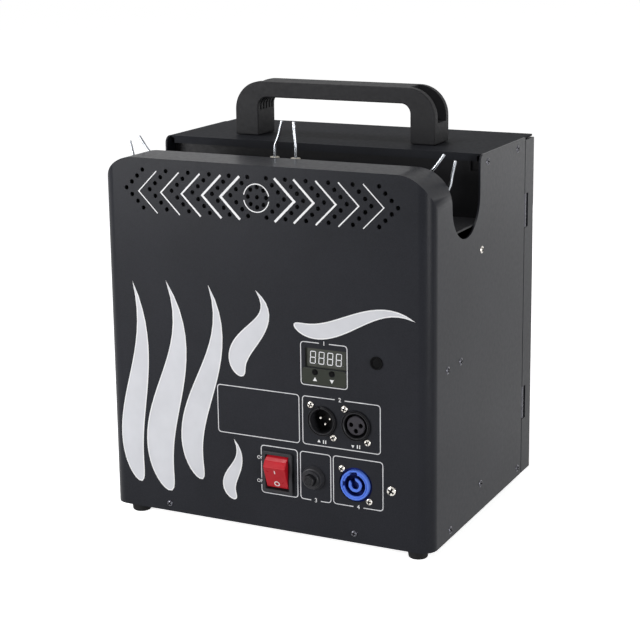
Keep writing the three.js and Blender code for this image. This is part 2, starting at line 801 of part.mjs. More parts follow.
function makeLatch() {
  const knobFront = doorBackY + fitGap;
  const knobBack = knobFront + latchKnobHeight;
  const catchY = doorFrontY + catchPlateReach;
  const camBack = catchY - latchCamGap;
  const camFront = camBack - latchCamThickness;
  const latch = join(
    barY(latchX, latchHeight, latchKnobRadius, knobFront, knobBack, roundSides, latchKnobRadius - sheet),
    block(
      latchX - latchWingWidth / 2, latchX + latchWingWidth / 2, knobBack - sheet, knobBack + latchWingHeight,
      latchHeight - latchKnobRadius + sheet, latchHeight + latchKnobRadius - sheet),
    barY(latchX, latchHeight, latchShaftRadius, camFront, knobBack - sheet),
    block(
      latchX - latchCamWidth / 2, latchX + latchCamWidth / 2, camFront, camBack,
      latchHeight - latchCamReach, latchHeight + latchCamWidth / 2));
  piece('door_latch', latch, mouldedBlack);
  const legX = [-fitX, -fitX + bladeThickness];
  const catchBracket = join(
    block(...legX, coverSideDepth - catchLegReach, catchY + bladeThickness,
      latchHeight - catchHeight / 2, latchHeight + catchHeight / 2),
    block(legX[0], legX[0] + catchLegReach - fitGap, catchY, catchY + bladeThickness,
      latchHeight - catchHeight / 2, latchHeight + catchHeight / 2));
  piece('latch_catch', catchBracket, plainSteel);
}

// Flame heads. Each is drawn upright about its own seat, then set at its tilt in the trough.
function electrode(side) {
  const start = (side * electrodeSpacing) / 2;
  const points = [
    [start, insulatorHeight - insulatorBoreDepth + fitGap],
    [start, electrodeKinkHeight],
    [(side * electrodeBendSpacing) / 2, electrodeBendHeight],
    [(side * electrodeTipSpacing) / 2, electrodeTipHeight],
  ].map(([x, z]) => new THREE.Vector3(x, 0, z));
  const ring = new THREE.Shape().absarc(0, 0, electrodeRadius, 0, Math.PI * 2);
  const path = new THREE.CatmullRomCurve3(points, false, 'centripetal');
  return solid(new THREE.ExtrudeGeometry(ring, {
    steps: electrodeSteps, extrudePath: path, curveSegments: tubeSides / 2, bevelEnabled: false,
  }));
}

function makeHead(label, x, z, tilt) {
  const head = new THREE.Group();
  head.position.set(x, headY, z);
  head.rotation.y = tilt;
  machine.add(head);
  const nozzleSeat = holderThickness + fitGap;
  const half = electrodeSpacing / 2;
  const holderOutline = roundedRectangle(0, 0, holderLength, holderWidth, holderCorner);
  let holder = prismZ(holderOutline, 0, holderThickness, smallCornerSteps);
  for (const side of [-1, 1]) {
    holder = holder.add(barZ(side * half, 0, insulatorRadius, 0, insulatorHeight, smallSides));
    holder = holder.subtract(barZ(
      side * half, 0, electrodeRadius + electrodeBoreClearance, insulatorHeight - insulatorBoreDepth,
      insulatorHeight + overrun, ventSides));
  }
  holder = holder.subtract(barZ(
    0, 0, nozzleShankRadius + fitGap, -overrun, holderThickness + overrun, smallSides));
  piece(`electrode_holder_${label}`, holder, ceramicWhite, head);
  const nozzleTop = nozzleSeat + nozzleHeight;
  const cone = turned([
    [0, nozzleSeat],
    [nozzleHexRadius - fitGap, nozzleSeat],
    [nozzleHexRadius - fitGap, nozzleSeat + nozzleHexHeight],
    [nozzleShankRadius, nozzleSeat + nozzleHexHeight + sheet],
    [nozzleShankRadius, nozzleSeat + nozzleHexHeight * 2],
    [nozzleTipRadius, nozzleTop],
    [nozzleBoreRadius, nozzleTop],
    [nozzleBoreRadius, nozzleTop - nozzleBoreDepth],
    [0, nozzleTop - nozzleBoreDepth],
  ], 0, 0, 0, smallSides);
  const hexagon = barZ(
    0, 0, nozzleHexRadius, nozzleSeat, nozzleSeat + nozzleHexHeight - fitGap, nozzleHexSides);
  const shank = barZ(0, 0, nozzleShankRadius, -nozzleShankBelow, nozzleSeat + sheet, smallSides);
  piece(`nozzle_${label}`, join(cone, hexagon, shank), brassMetal, head);
  piece(`electrode_${label}_a`, electrode(-1), brightSteel, head);
  piece(`electrode_${label}_b`, electrode(1), brightSteel, head);
}

// The point at a height on a head's own axis, in the machine's frame
function onHeadAxis(x, z, tilt, height) {
  return new THREE.Vector3(x + height * Math.sin(tilt), headY, z + height * Math.cos(tilt));
}

function makeGasTube(label, x, z, tilt, outletX) {
  const start = onHeadAxis(x, z, tilt, -nozzleShankBelow - fitGap);
  const below = onHeadAxis(x, z, tilt, -nozzleShankBelow - gasTubeFall);
  const end = new THREE.Vector3(outletX, fuelBayY, outletZ);
  const beforeEnd = new THREE.Vector3(outletX, bulkheadY - gasTubeLead, outletZ);
  const middle = below.clone().lerp(beforeEnd, 1 / 2);
  middle.z = Math.min(below.z, outletZ) - gasTubeSag;
  const path = new THREE.CatmullRomCurve3([start, below, middle, beforeEnd, end], false, 'centripetal');
  const ring = new THREE.Shape().absarc(0, 0, gasTubeRadius, 0, Math.PI * 2);
  const tube = new THREE.ExtrudeGeometry(ring, {
    steps: tubeSteps, extrudePath: path, curveSegments: tubeSides / 2, bevelEnabled: false,
  });
  piece(`gas_tube_${label}`, solid(tube), brassMetal);
}

// Fuel bay: manifold, valves, can, cradle and clip
function makeFuelBay() {
  const top = manifoldBottom + manifoldHeight;
  const barBack = fuelBayY + manifoldDepth;
  const neckTop = manifoldBottom + canNeckEngagement;
  let manifold = join(
    block(-manifoldLength / 2, manifoldLength / 2, fuelBayY + fitGap, barBack, manifoldBottom, top),
    block(
      -manifoldArmWidth / 2, manifoldArmWidth / 2, barBack - sheet, barBack + manifoldArmReach,
      manifoldBottom, top));
  manifold = cut(manifold, barZ(
    0, canCentreY, canNeckRadius + canNeckClearance, manifoldBottom - overrun, neckTop + fitGap));
  piece('gas_manifold', manifold, aluminiumMetal);
  const valveY = fuelBayY + fitGap + manifoldDepth / 2;
  const seatZ = top + fitGap;
  for (const [label, index] of [['left', -1], ['centre', 0], ['right', 1]]) {
    const x = index * outletPitch;
    const body = join(
      block(
        x - solenoidWidth / 2, x + solenoidWidth / 2, valveY - solenoidDepth / 2, valveY + solenoidDepth / 2,
        seatZ, seatZ + solenoidHeight),
      barZ(
        x, valveY, solenoidCapRadius, seatZ + solenoidHeight - sheet,
        seatZ + solenoidHeight + solenoidCapHeight, smallSides));
    const bore = barZ(
      x, valveY, plungerRadius + plungerClearance, seatZ - overrun, seatZ + plungerBoreDepth, smallSides);
    piece(`solenoid_${label}`, cut(body, bore), glossBlack);
    const plunger = barZ(x, valveY, plungerRadius, seatZ, seatZ + plungerLength, smallSides);
    piece(`valve_plunger_${label}`, plunger, plainSteel);
  }
  const canBase = baseTopZ + cradleFloor + fitGap;
  const domeTop = canShoulderZ + canDomeHeight;
  const can = turned([
    [0, canBase],
    [canRadius - sheet, canBase],
    [canRadius, canBase + sheet],
    [canRadius, canShoulderZ],
    [canRadius - canDomeHeight / 2, canShoulderZ + canDomeHeight / 2],
    [canDomeRadius, domeTop],
    [canDomeRadius, domeTop + canCollarHeight],
    [canNeckRadius, domeTop + canCollarHeight],
    [canNeckRadius, neckTop],
    [0, neckTop],
  ], 0, canCentreY, 0, fineSides);
  piece('fuel_can', can, canSilver);
  const cupRadius = canRadius + cradleClearance;
  const cup = cut(
    barZ(0, canCentreY, cupRadius + cradleWall, baseTopZ, baseTopZ + cradleHeight, fineSides),
    barZ(0, canCentreY, cupRadius, baseTopZ + cradleFloor, baseTopZ + cradleHeight + overrun, fineSides),
    block(-cupRadius, cupRadius, canCentreY, canCentreY + cupRadius + cradleWall + overrun,
      baseTopZ + cradleFloor, baseTopZ + cradleHeight + overrun));
  piece('can_cradle', cup, mouldedBlack);
  const clipInside = canRadius + fitGap;
  const clipOutside = clipInside + clipThickness;
  const band = new THREE.Shape();
  const openTo = Math.PI / 2 + clipMouthAngle / 2;
  const openFrom = Math.PI / 2 - clipMouthAngle / 2 + Math.PI * 2;
  band.absarc(0, canCentreY, clipOutside, openTo, openFrom);
  band.absarc(0, canCentreY, clipInside, openFrom, openTo, true);
  band.closePath();
  const clip = join(
    prismZ(band, clipCentreZ - clipWidth / 2, clipCentreZ + clipWidth / 2, fineSides),
    cut(
      block(-clipStandWidth / 2, clipStandWidth / 2, fuelBayY, canCentreY - clipInside + sheet,
        clipCentreZ - clipWidth / 2, clipCentreZ + clipWidth / 2),
      barZ(
        0, canCentreY, clipInside + clipThickness / 2, clipCentreZ - clipWidth, clipCentreZ + clipWidth,
        fineSides)));
  piece('can_clip', clip, brightSteel);
}

// Ignition coils, power supply and control board
function makeElectrics() {
  const coilBack = bulkheadY - fitGap;
  for (const [label, index] of [['left', -1], ['centre', 0], ['right', 1]]) {
    const x = coilCentreX + index * coilPitch;
    const y = coilBack - coilDepth / 2;
    const coil = join(
      block(
        x - coilWidth / 2, x + coilWidth / 2, coilBack - coilDepth, coilBack, coilBottom,
        coilBottom + coilHeight),
      barZ(
        x, y, coilTerminalRadius, coilBottom + coilHeight - sheet,
        coilBottom + coilHeight + coilTerminalHeight, smallSides));
    piece(`ignition_coil_${label}`, coil, glossBlack);
  }
  const supply = block(
    fitX - supplyWidth, fitX, supplyFrontY, supplyFrontY + supplyDepth,
    supplyBottom, supplyBottom + supplyHeight);
  piece('power_supply', supply, aluminiumMetal);
  let board = block(
    boardCentreX - boardWidth / 2, boardCentreX + boardWidth / 2, boardY, boardY + boardThickness,
    boardCentreZ - boardHeight / 2, boardCentreZ + boardHeight / 2);
  for (const sideX of [-1, 1]) {
    for (const sideZ of [-1, 1]) {
      const x = boardCentreX + sideX * (boardWidth / 2 - standoffInset);
      const z = boardCentreZ + sideZ * (boardHeight / 2 - standoffInset);
      board = board.add(barY(
        x, z, standoffRadius, panelBackY, boardY + boardThickness / 2, smallSides));
    }
  }
  piece('control_board', board, boardGreen);
}

// Fittings of the front panel
function makeDisplay() {
  piece('display_module', block(
    displayCentreX - displayWidth / 2 - displayRim, displayCentreX + displayWidth / 2 + displayRim,
    sheet + displaySetback, boardY - fitGap,
    displayCentreZ - displayHeight / 2 - displayRim,
    displayCentreZ + displayHeight / 2 + displayRim), glossBlack);
  const back = boardY - fitGap - buttonTravel;
  for (const [label, side] of [['up', -1], ['down', 1]]) {
    const x = buttonCentreX + (side * buttonPitch) / 2;
    piece(
      `${label}_button`, barY(x, buttonZ, buttonRadius, -buttonProud, back, smallSides), mouldedBlack);
  }
}

function makePowerSwitch() {
  const wellWidth = rockerWidth + rockerWindowClearance * 2;
  const wellHeight = (rockerHalfHeight + rockerWindowClearance) * 2;
  const bezel = roundedRectangle(switchCentreX, panelRowZ, bezelWidth, bezelHeight, bezelCorner);
  const body = join(
    prismY(bezel, -fitGap - bezelProud, -fitGap, smallCornerSteps),
    block(
      switchCentreX - switchBodyWidth / 2, switchCentreX + switchBodyWidth / 2,
      -fitGap - sheet, switchBodyDepth,
      panelRowZ - switchBodyHeight / 2, panelRowZ + switchBodyHeight / 2));
  const well = block(
    switchCentreX - wellWidth / 2, switchCentreX + wellWidth / 2, -bezelProud - overrun, rockerWellDepth,
    panelRowZ - wellHeight / 2, panelRowZ + wellHeight / 2);
  piece('rocker_housing', cut(body, well), glossBlack);
  const profile = polygon([
    [rockerFaceY, rockerFaceHalf],
    [rockerFaceY, -rockerFaceHalf],
    [rockerShoulderY, -rockerHalfHeight],
    [rockerBackY / 2, -rockerHalfHeight + sheet],
    [rockerBackY, -rockerFaceHalf / 2],
    [rockerBackY, rockerFaceHalf / 2],
    [rockerBackY / 2, rockerHalfHeight - sheet],
    [rockerShoulderY, rockerHalfHeight],
  ]);
  const rocker = new THREE.Group();
  rocker.position.set(switchCentreX, rockerPivotY, panelRowZ);
  rocker.rotation.x = rockerTilt;
  machine.add(rocker);
  piece('power_rocker', prismX(profile, -rockerWidth / 2, rockerWidth / 2), rockerRed, rocker);
}

function makeBreaker() {
  const nutFront = panelFaceY - breakerNutHeight;
  const collarFront = nutFront - breakerCollarHeight;
  const bore = resetRadius + resetClearance;
  const body = join(
    barY(
      breakerCentreX, panelRowZ, breakerNutRadius - sheet, nutFront, panelFaceY, roundSides,
      breakerNutRadius),
    barY(breakerCentreX, panelRowZ, breakerCollarRadius, collarFront, nutFront + sheet),
    barY(breakerCentreX, panelRowZ, breakerNeckRadius, nutFront, panelBackY + sheet),
    barY(breakerCentreX, panelRowZ, breakerBodyRadius, panelBackY, panelBackY + breakerBodyDepth));
  piece('breaker_body', cut(
    body, barY(breakerCentreX, panelRowZ, bore, collarFront - overrun, breakerBoreDepth)), mouldedBlack);
  piece('reset_button', barY(
    breakerCentreX, panelRowZ, resetRadius, -resetProud, breakerBoreDepth - fitGap, roundSides), glossBlack);
}

function connectorFlange(x, z) {
  const outline = roundedRectangle(x, z, connectorFlangeWidth, connectorFlangeHeight, connectorFlangeCorner);
  return prismY(outline, panelBackY, panelBackY + connectorFlangeThickness, smallCornerSteps);
}

function makeConnectors() {
  const pinAngles = [Math.PI / 6, (5 * Math.PI) / 6, (3 * Math.PI) / 2];
  const spots = (x) => pinAngles.map((angle) => [
    x + signalPinCircle * Math.cos(angle), signalZ + signalPinCircle * Math.sin(angle)]);
  const shell = (x) => join(
    connectorFlange(x, signalZ),
    barY(
      x, signalZ, signalRingRadius, -signalRingProud, panelBackY + connectorFlangeThickness / 2,
      fineSides),
    barY(x, signalZ, signalBodyRadius, panelBackY, signalBodyDepth));
  const well = (x) => barY(x, signalZ, signalWellRadius, -signalRingProud - overrun, signalWellDepth);
  const pins = spots(signalInX).map(([x, z]) => barY(
    x, z, signalPinRadius, signalWellDepth - signalPinLength, signalWellDepth + sheet, ventSides));
  piece('signal_input', join(cut(shell(signalInX), well(signalInX)), ...pins), glossBlack);
  const insert = barY(
    signalOutX, signalZ, signalInsertRadius, -signalRingProud + signalInsertSetback,
    signalWellDepth + sheet);
  const holes = spots(signalOutX).map(([x, z]) => barY(
    x, z, signalHoleRadius, -signalRingProud - overrun, signalWellDepth - signalPinLength / 2, ventSides));
  piece('signal_output', cut(join(cut(shell(signalOutX), well(signalOutX)), insert), ...holes), glossBlack);
  const inletShell = join(
    connectorFlange(powerInX, powerInZ),
    barY(
      powerInX, powerInZ, powerRingRadius, -powerRingProud, panelBackY + connectorFlangeThickness / 2,
      fineSides),
    barY(powerInX, powerInZ, powerRingRadius - sheet, panelBackY, powerBodyDepth));
  const inletWell = barY(powerInX, powerInZ, powerWellRadius, -powerRingProud - overrun, powerWellDepth);
  const inletInsert = cut(
    barY(powerInX, powerInZ, powerInsertRadius, -powerRingProud / 2, powerWellDepth + sheet),
    barY(powerInX, powerInZ, powerBoreRadius, -powerRingProud, powerWellDepth));
  piece('power_inlet', join(cut(inletShell, inletWell), inletInsert), inletBlue);
  const plug = join(
    barY(plugX, plugZ, plugRadius + plugRimWidth, -fitGap - plugRimProud, -fitGap),
    barY(plugX, plugZ, plugRadius, -fitGap - plugRimProud / 2, plugShank));
  piece('hole_plug', plug, rubberBlack);
}

makeCover();
makeBase();
makeTrough();
makeBulkhead();
makeLid();
makeHandle();
makeDoor();
makeHinge('upper', hingeUpperCentre);
makeHinge('lower', hingeLowerCentre);
makeLatch();
const heads = [
  ['left', -sideHeadX, sideHeadZ, -headTilt, -outletPitch],
  ['centre', 0, troughFloorZ + fitGap, 0, 0],
  ['right', sideHeadX, sideHeadZ, headTilt, outletPitch],
];
for (const [label, x, z, tilt, outletX] of heads) {
  makeHead(label, x, z, tilt);
  makeGasTube(label, x, z, tilt, outletX);
}
makeFuelBay();
makeElectrics();
makeDisplay();
makePowerSwitch();
makeBreaker();
makeConnectors();

// Stand the machine on z = 0 with its box centred on x and y
const bounds = new THREE.Box3().setFromObject(machine, true);
const middle = bounds.getCenter(new THREE.Vector3());
machine.position.set(-middle.x, -middle.y, -bounds.min.z);

export default machine;
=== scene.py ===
import logging
import math
from dataclasses import dataclass
from enum import Enum
from typing import Callable, Sequence

import bpy
from mathutils import Matrix, Vector


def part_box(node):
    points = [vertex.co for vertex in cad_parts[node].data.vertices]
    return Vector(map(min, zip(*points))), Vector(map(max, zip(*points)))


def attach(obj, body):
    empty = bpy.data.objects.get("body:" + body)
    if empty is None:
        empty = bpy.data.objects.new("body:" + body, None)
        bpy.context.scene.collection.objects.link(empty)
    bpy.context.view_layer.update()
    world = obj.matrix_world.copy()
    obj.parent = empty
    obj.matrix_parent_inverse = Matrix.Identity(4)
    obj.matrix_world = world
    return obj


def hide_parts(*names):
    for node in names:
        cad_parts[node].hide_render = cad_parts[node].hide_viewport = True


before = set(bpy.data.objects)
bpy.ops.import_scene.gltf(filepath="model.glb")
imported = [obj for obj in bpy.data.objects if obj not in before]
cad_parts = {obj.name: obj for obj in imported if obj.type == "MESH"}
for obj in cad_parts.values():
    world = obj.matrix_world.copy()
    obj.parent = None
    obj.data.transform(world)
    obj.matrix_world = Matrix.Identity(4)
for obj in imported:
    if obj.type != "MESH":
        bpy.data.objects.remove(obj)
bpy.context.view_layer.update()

MM = 0.001
PANEL_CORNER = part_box("cover_shell")[0]
# The foot of the front panel's outer face. Drafts are modelled from here, in millimetres.
DROP = Vector((0.0, PANEL_CORNER.y, PANEL_CORNER.z))
LOG = logging.getLogger("flame_machine")
Point = tuple[float, float, float]
Flat = tuple[float, float]
Outline = Sequence[Flat]
Socket = bpy.types.NodeSocket
Tree = bpy.types.NodeTree
Piece = bpy.types.Object

METAL_SHINE = 0.5  # The specular level of a metal
NOISE_LOW, NOISE_HIGH = 0.32, 0.68  # Most of a noise lies between these
DETAIL_FADE = 0.55  # How much a noise's finer layers keep of its strength
WELD = 0.0005  # Points nearer than this become one
ROUNDING = 4  # Steps in a wire's bend, and in a quarter of its girth
SIDES = (("left", -1), ("centre", 0), ("right", 1))
ENDS = SIDES[::2]


class Body(Enum):
    """The bodies that a piece can ride on."""

    CHASSIS = "chassis"
    DOOR = "door"
    LATCH = "latch"
    ROCKER = "rocker"
    RESET = "reset"
    UP = "up"
    DOWN = "down"


class Along(Enum):
    """The axis that an outline is carried along, or a profile is turned about."""

    X = "x"
    Y = "y"
    Z = "z"


X, Y, Z = Along
TURNS = {
    X: Matrix.Rotation(math.pi / 2, 4, "Y"), Y: Matrix.Rotation(-math.pi / 2, 4, "X"), Z: Matrix.Identity(4)}


def linear(code: str) -> tuple[float, float, float, float]:
    """Turns an sRGB hex colour into a linear one.

    Args:
        code: A hash sign and six hex digits.

    Returns:
        Red, green, blue and an alpha of one.
    """
    parts = [int(code[i:i + 2], 16) / 255 for i in (1, 3, 5)]
    return (*(c / 12.92 if c <= 0.04045 else ((c + 0.055) / 1.055) ** 2.4 for c in parts), 1.0)


def emptied(owner: bpy.types.ID) -> Tree:
    """The cleared node tree of a material or world.

    Args:
        owner: The material or world.

    Returns:
        Its tree, ready for new nodes.
    """
    owner.use_nodes = True
    owner.node_tree.nodes.clear()
    return owner.node_tree


def add_node(tree: Tree, kind: str, links: dict, **settings: object) -> Sequence[Socket]:
    """Adds one shader node.

    Args:
        tree: The node tree that takes it.
        kind: The node's type name after its ShaderNode prefix.
        links: Input names or numbers, each with a value or an output socket.
        settings: Attributes of the node.

    Returns:
        The node's outputs.
    """
    node = tree.nodes.new("ShaderNode" + kind)
    for name, value in settings.items():
        setattr(node, name, value)
    for name, value in links.items():
        if isinstance(value, Socket):
            tree.links.new(value, node.inputs[name])
        else:
            node.inputs[name].default_value = value
    return node.outputs


@dataclass(frozen=True)
class Finish:
    """A surface with a fine grain in its relief, and slow patches in its colour and gloss.

    The slot is the record's usual one for it. Patch, grain and depth of the relief are in millimetres. Shine is
    the specular level of what is no metal.
    """

    name: str
    slot: str
    colour: str
    patch_colour: str
    roughness: float
    metallic: float = 0.0
    patch: float = 45.0
    grain: float = 0.6
    depth: float = 0.004
    swing: float = 0.05
    stretch: Point = (1.0, 1.0, 1.0)
    glow: float = 0.0
    shine: float = 0.15

    def build(self) -> bpy.types.Material:
        """Makes the material, or returns the one already made.

        Returns:
            The material.
        """
        made = bpy.data.materials.get(self.name)
        if made:
            return made
        material = bpy.data.materials.new(self.name)
        tree = emptied(material)
        place = add_node(tree, "TexCoord", {})["Object"]
        where = add_node(tree, "Mapping", {"Vector": place, "Scale": self.stretch})["Vector"]
        bump = add_node(tree, "Bump", {
            "Height": self.relief(tree, where), "Distance": self.depth * MM, "Strength": 1.0})
        shader = add_node(tree, "BsdfPrincipled", {
            "Base Color": self.tint(tree, where),
            "Roughness": self.gloss(tree, where),
            "Normal": bump["Normal"],
            "Metallic": self.metallic,
            "Specular IOR Level": METAL_SHINE if self.metallic else self.shine,
            "Emission Color": linear(self.colour),
            "Emission Strength": self.glow})
        add_node(tree, "OutputMaterial", {"Surface": shader["BSDF"]})
        return material

    def drift(self, tree: Tree, where: Socket) -> Socket:
        """The slow noise that the colour follows.

        Args:
            tree: The material's tree.
            where: The place that patterns are read at, in metres.

        Returns:
            A share of the second colour, bunched about a half.
        """
        return add_node(tree, "TexNoise", {
            "Vector": where, "Scale": 1 / (self.patch * MM), "Detail": 3.0, "Roughness": DETAIL_FADE})["Fac"]

    def tint(self, tree: Tree, where: Socket) -> Socket:
        """The colour, which drifts between two near shades.

        Args:
            tree: The material's tree.
            where: The place that patterns are read at, in metres.

        Returns:
            The colour.
        """
        share = add_node(tree, "MapRange", {
            "Value": self.drift(tree, where), "From Min": NOISE_LOW, "From Max": NOISE_HIGH})["Result"]
        return add_node(tree, "Mix", {
            0: share, 6: linear(self.colour), 7: linear(self.patch_colour)}, data_type="RGBA")[2]

    def gloss(self, tree: Tree, where: Socket) -> Socket:
        """The roughness, which swings a little from place to place.

        Args:
            tree: The material's tree.
            where: The place that patterns are read at, in metres.

        Returns:
            The roughness.
        """
        fine = add_node(tree, "TexNoise", {
            "Vector": where, "Scale": 1 / (self.grain * 4 * MM), "Detail": 2.0, "Roughness": DETAIL_FADE})["Fac"]
        return add_node(tree, "MapRange", {
            "Value": fine, "From Min": NOISE_LOW, "From Max": NOISE_HIGH,
            "To Min": self.roughness - self.swing, "To Max": self.roughness + self.swing})["Result"]

    def relief(self, tree: Tree, where: Socket) -> Socket:
        """The height of the grain, from zero to one."""
        return add_node(tree, "TexNoise", {
            "Vector": where, "Scale": 1 / (self.grain * MM), "Detail": 2.0, "Roughness": DETAIL_FADE})["Fac"]


@dataclass(frozen=True)
class Speckled(Finish):
    """A surface whose grain also shows as small dark and light specks, as powder coat has."""

    def drift(self, tree: Tree, where: Socket) -> Socket:
        """The slow noise and one of the grain's size, in equal shares.

        Args:
            tree: The material's tree.
            where: The place that patterns are read at, in metres.

        Returns:
            A share of the second colour, bunched about a half.
        """
        fine = add_node(tree, "TexNoise", {
            "Vector": where, "Scale": 1 / (self.grain * MM), "Detail": 1.0, "Roughness": DETAIL_FADE})["Fac"]
        both = add_node(tree, "Math", {0: super().drift(tree, where), 1: fine}, operation="ADD")[0]
        return add_node(tree, "Math", {0: both, 1: 0.5}, operation="MULTIPLY")[0]


@dataclass(frozen=True)
class Turned(Finish):
    """A metal with the fine rings that a lathe leaves."""

    pitch: float = 0.5

    def relief(self, tree: Tree, where: Socket) -> Socket:
        """Rings a pitch apart along the height, worn a little by noise."""
        return add_node(tree, "TexWave", {
            "Vector": where, "Scale": 1 / (self.pitch * MM * 20), "Distortion": 0.4, "Detail": 1.0},
            wave_type="BANDS", bands_direction="Z", wave_profile="SIN")["Fac"]


@dataclass(frozen=True)
class CircuitBoard(Finish):
    """Solder mask with copper runs that show through as a lighter green."""

    run: float = 2.2

    def tint(self, tree: Tree, where: Socket) -> Socket:
        """Mask green with straight runs a few millimetres apart."""
        return add_node(tree, "TexBrick", {
            "Vector": where, "Scale": 1 / (self.run * MM * 4), "Mortar Size": 0.05,
            "Color1": linear(self.colour), "Color2": linear(self.colour),
            "Mortar": linear(self.patch_colour)})["Color"]


# Powder-coated steel: satin, nearly black, with the faint orange peel that cured powder leaves.
POWDER_COAT = Speckled("powder_coated_steel", "powder_coat", "#1e1f23", "#26272c", 0.36, patch=70, grain=0.9,
                       depth=0.012, swing=0.03, shine=0.07)
# The same coat on the upward faces, dulled by handling and dust.
DULLED_COAT = Speckled("dulled_powder_coat", "powder_coat", "#222326", "#292a2e", 0.6, patch=70, grain=0.9,
                       depth=0.012, swing=0.03, shine=0.02)
# Powder coat inside the trough, darkened to near black as painted shade of the trough's recess.
TROUGH_SHADE_COAT = Speckled("powder_coat_with_trough_shade", "powder_coat", "#111113", "#17171a", 0.6, patch=40, grain=0.9,
                       depth=0.012, shine=0.2)
# Moulded ABS of the handle: matt, spark-eroded grain.
MOULDED_ABS = Speckled("moulded_abs", "moulded_black", "#1d1d1f", "#232325", 0.6, patch=60, grain=0.7, depth=0.02)
# Moulded polycarbonate of connectors and the latch: smooth black with soft highlights.
BLACK_PLASTIC = Finish("black_polycarbonate", "gloss_black", "#1b1b1d", "#222225", 0.32, grain=2.0)
# The same plastic with a fine etched grain, a little greyer, on the switch's bezel and the breaker.
BEZEL_PLASTIC = Finish("bezel_polycarbonate", "gloss_black", "#28282b", "#2f2f32", 0.38, grain=1.0, depth=0.006)
# Glass-filled nylon of the socket's insert: dark grey, faintly violet.
INSERT_PLASTIC = Finish("grey_insert_plastic", "gloss_black", "#2c2a2f", "#343237", 0.4, grain=1.0, depth=0.006)
# Nitrile rubber of the feet: dull, with a soft bloom.
RUBBER = Finish("nitrile_rubber", "foot_rubber", "#1d1d1e", "#29292a", 0.85, patch=8, grain=0.8, depth=0.03)
# Soft black plastic of the keys and of the plug in the spare hole. It is dull, and darkened to near black as painted
# shade of the holes they sit in.
HOLE_SHADE_PLASTIC = Finish("black_plastic_with_hole_shade", "moulded_black", "#0b0b0c", "#121213", 0.6, patch=6, grain=0.8,
                      depth=0.02, shine=0.04)
# Moulded polycarbonate of the rocker: even red with a clear highlight.
RED_PLASTIC = Finish("red_polycarbonate", "rocker_red", "#a81420", "#b41a27", 0.3, patch=14, grain=2.5, depth=0.006)
# Moulded nylon of the mains inlet's front: light blue, half matt.
BLUE_NYLON = Finish("blue_nylon", "inlet_blue", "#5c80e0", "#5478da", 0.4, patch=10, grain=0.8, depth=0.01)
# The same nylon darkened to navy, as painted shade in the depth of the inlet.
INLET_SHADE_NYLON = Finish("blue_nylon_with_depth_shade", "inlet_blue", "#0c1b5e", "#10226c", 0.5, patch=10, grain=0.8, depth=0.01)
# Screen-printing ink: a flat, slightly chalky film in white.
WHITE_INK = Finish("white_screen_ink", "powder_coat", "#e9e9ea", "#e0e0e2", 0.5, patch=12)
# The same ink a little greyer, as thin lines print.
LINE_INK = Finish("grey_screen_ink", "powder_coat", "#dadadd", "#cfcfd3", 0.5, patch=12)
# Silver ink: pale grey with slow cloudy patches.
SILVER_INK = Finish("silver_screen_ink", "powder_coat", "#c4c5ca", "#cdced3", 0.45, patch=30, grain=0.5, depth=0.005)
# Printed label film round the display: dark with a touch of olive.
OLIVE_FILM = Finish("olive_label_film", "gloss_black", "#252822", "#2b2e27", 0.4, patch=20, grain=1.5)
# Smoked acrylic in front of the digits: dark and smooth.
SMOKED_ACRYLIC = Finish("smoked_acrylic", "gloss_black", "#3a3c37", "#40423c", 0.2, patch=18, grain=3.0, depth=0.002)
# Milky light pipes of the digits: off-white with a faint glow.
LIGHT_PIPE = Finish("milky_light_pipe", "gloss_black", "#dddde0", "#d2d2d6", 0.4, patch=4, grain=0.5, glow=0.12)
# Zinc-plated sheet: bluish grey with the crystals' soft patches.
ZINC_SHEET = Finish("zinc_plated_sheet", "zinc_steel", "#9a9da2", "#aeb1b5", 0.38, 1.0, patch=12, grain=2.0,
                    depth=0.006)
# Drawn stainless wire and pins: streaked along their length.
STAINLESS = Finish("drawn_stainless", "stainless", "#a6a9ae", "#86898e", 0.22, 1.0, patch=4, grain=0.5,
                   stretch=(1.0, 1.0, 0.15))
# Nickel-plated steel of screws and pins: warm and bright.
NICKEL = Finish("nickel_plated_steel", "stainless", "#cfcbc4", "#c0bcb6", 0.2, 1.0, patch=3)
# Blackened steel of screws and hinges: dark grey with sharp highlights.
BLACK_OXIDE = Finish("black_oxide_steel", "gloss_black", "#4c4c52", "#5a5a60", 0.28, 0.9, patch=3, depth=0.005)
# Near-black crosses sunk in the screws' recesses: painted shade of the recesses.
RECESS_SHADE = Finish("painted_recess_shade", "gloss_black", "#060607", "#0b0b0c", 0.7, patch=2, grain=0.4, shine=0.08)
# Turned brass: fine rings half a millimetre apart.
BRASS = Turned("turned_brass", "nozzle_brass", "#c9a65a", "#b8944c", 0.26, 1.0, patch=6, grain=1.2, depth=0.006)
# Extruded aluminium: pale grey, streaked along the extrusion.
ALUMINIUM = Finish("extruded_aluminium", "plain_aluminium", "#b4b7bb", "#a8abb0", 0.36, 1.0, patch=16, depth=0.006,
                   stretch=(0.1, 1.0, 1.0))
# Drawn and tinned steel of the can: bright, with streaks along its height.
CAN_STEEL = Finish("tinned_can_steel", "can_silver", "#c4c7cc", "#b4b7bc", 0.3, 1.0, patch=20, grain=0.8,
                   depth=0.0005, swing=0.03, stretch=(1.0, 1.0, 0.1))
# Steatite ceramic: chalky cream, fired, slightly smoked near the sparks.
CERAMIC = Speckled("steatite_ceramic", "ceramic", "#dcd7ca", "#c8c2b4", 0.48, patch=14, grain=0.7, depth=0.01)
# Solder mask over copper: green with lighter runs.
BOARD = CircuitBoard("green_solder_mask", "gloss_black", "#1d5a3a", "#2c7450", 0.35, grain=0.8, depth=0.01)
# Filled resin that coils are potted in: black with a grainy skin.
POTTED_BLACK = Speckled("potted_resin", "gloss_black", "#1c1c1e", "#262628", 0.4, patch=10, grain=1.2, depth=0.02)


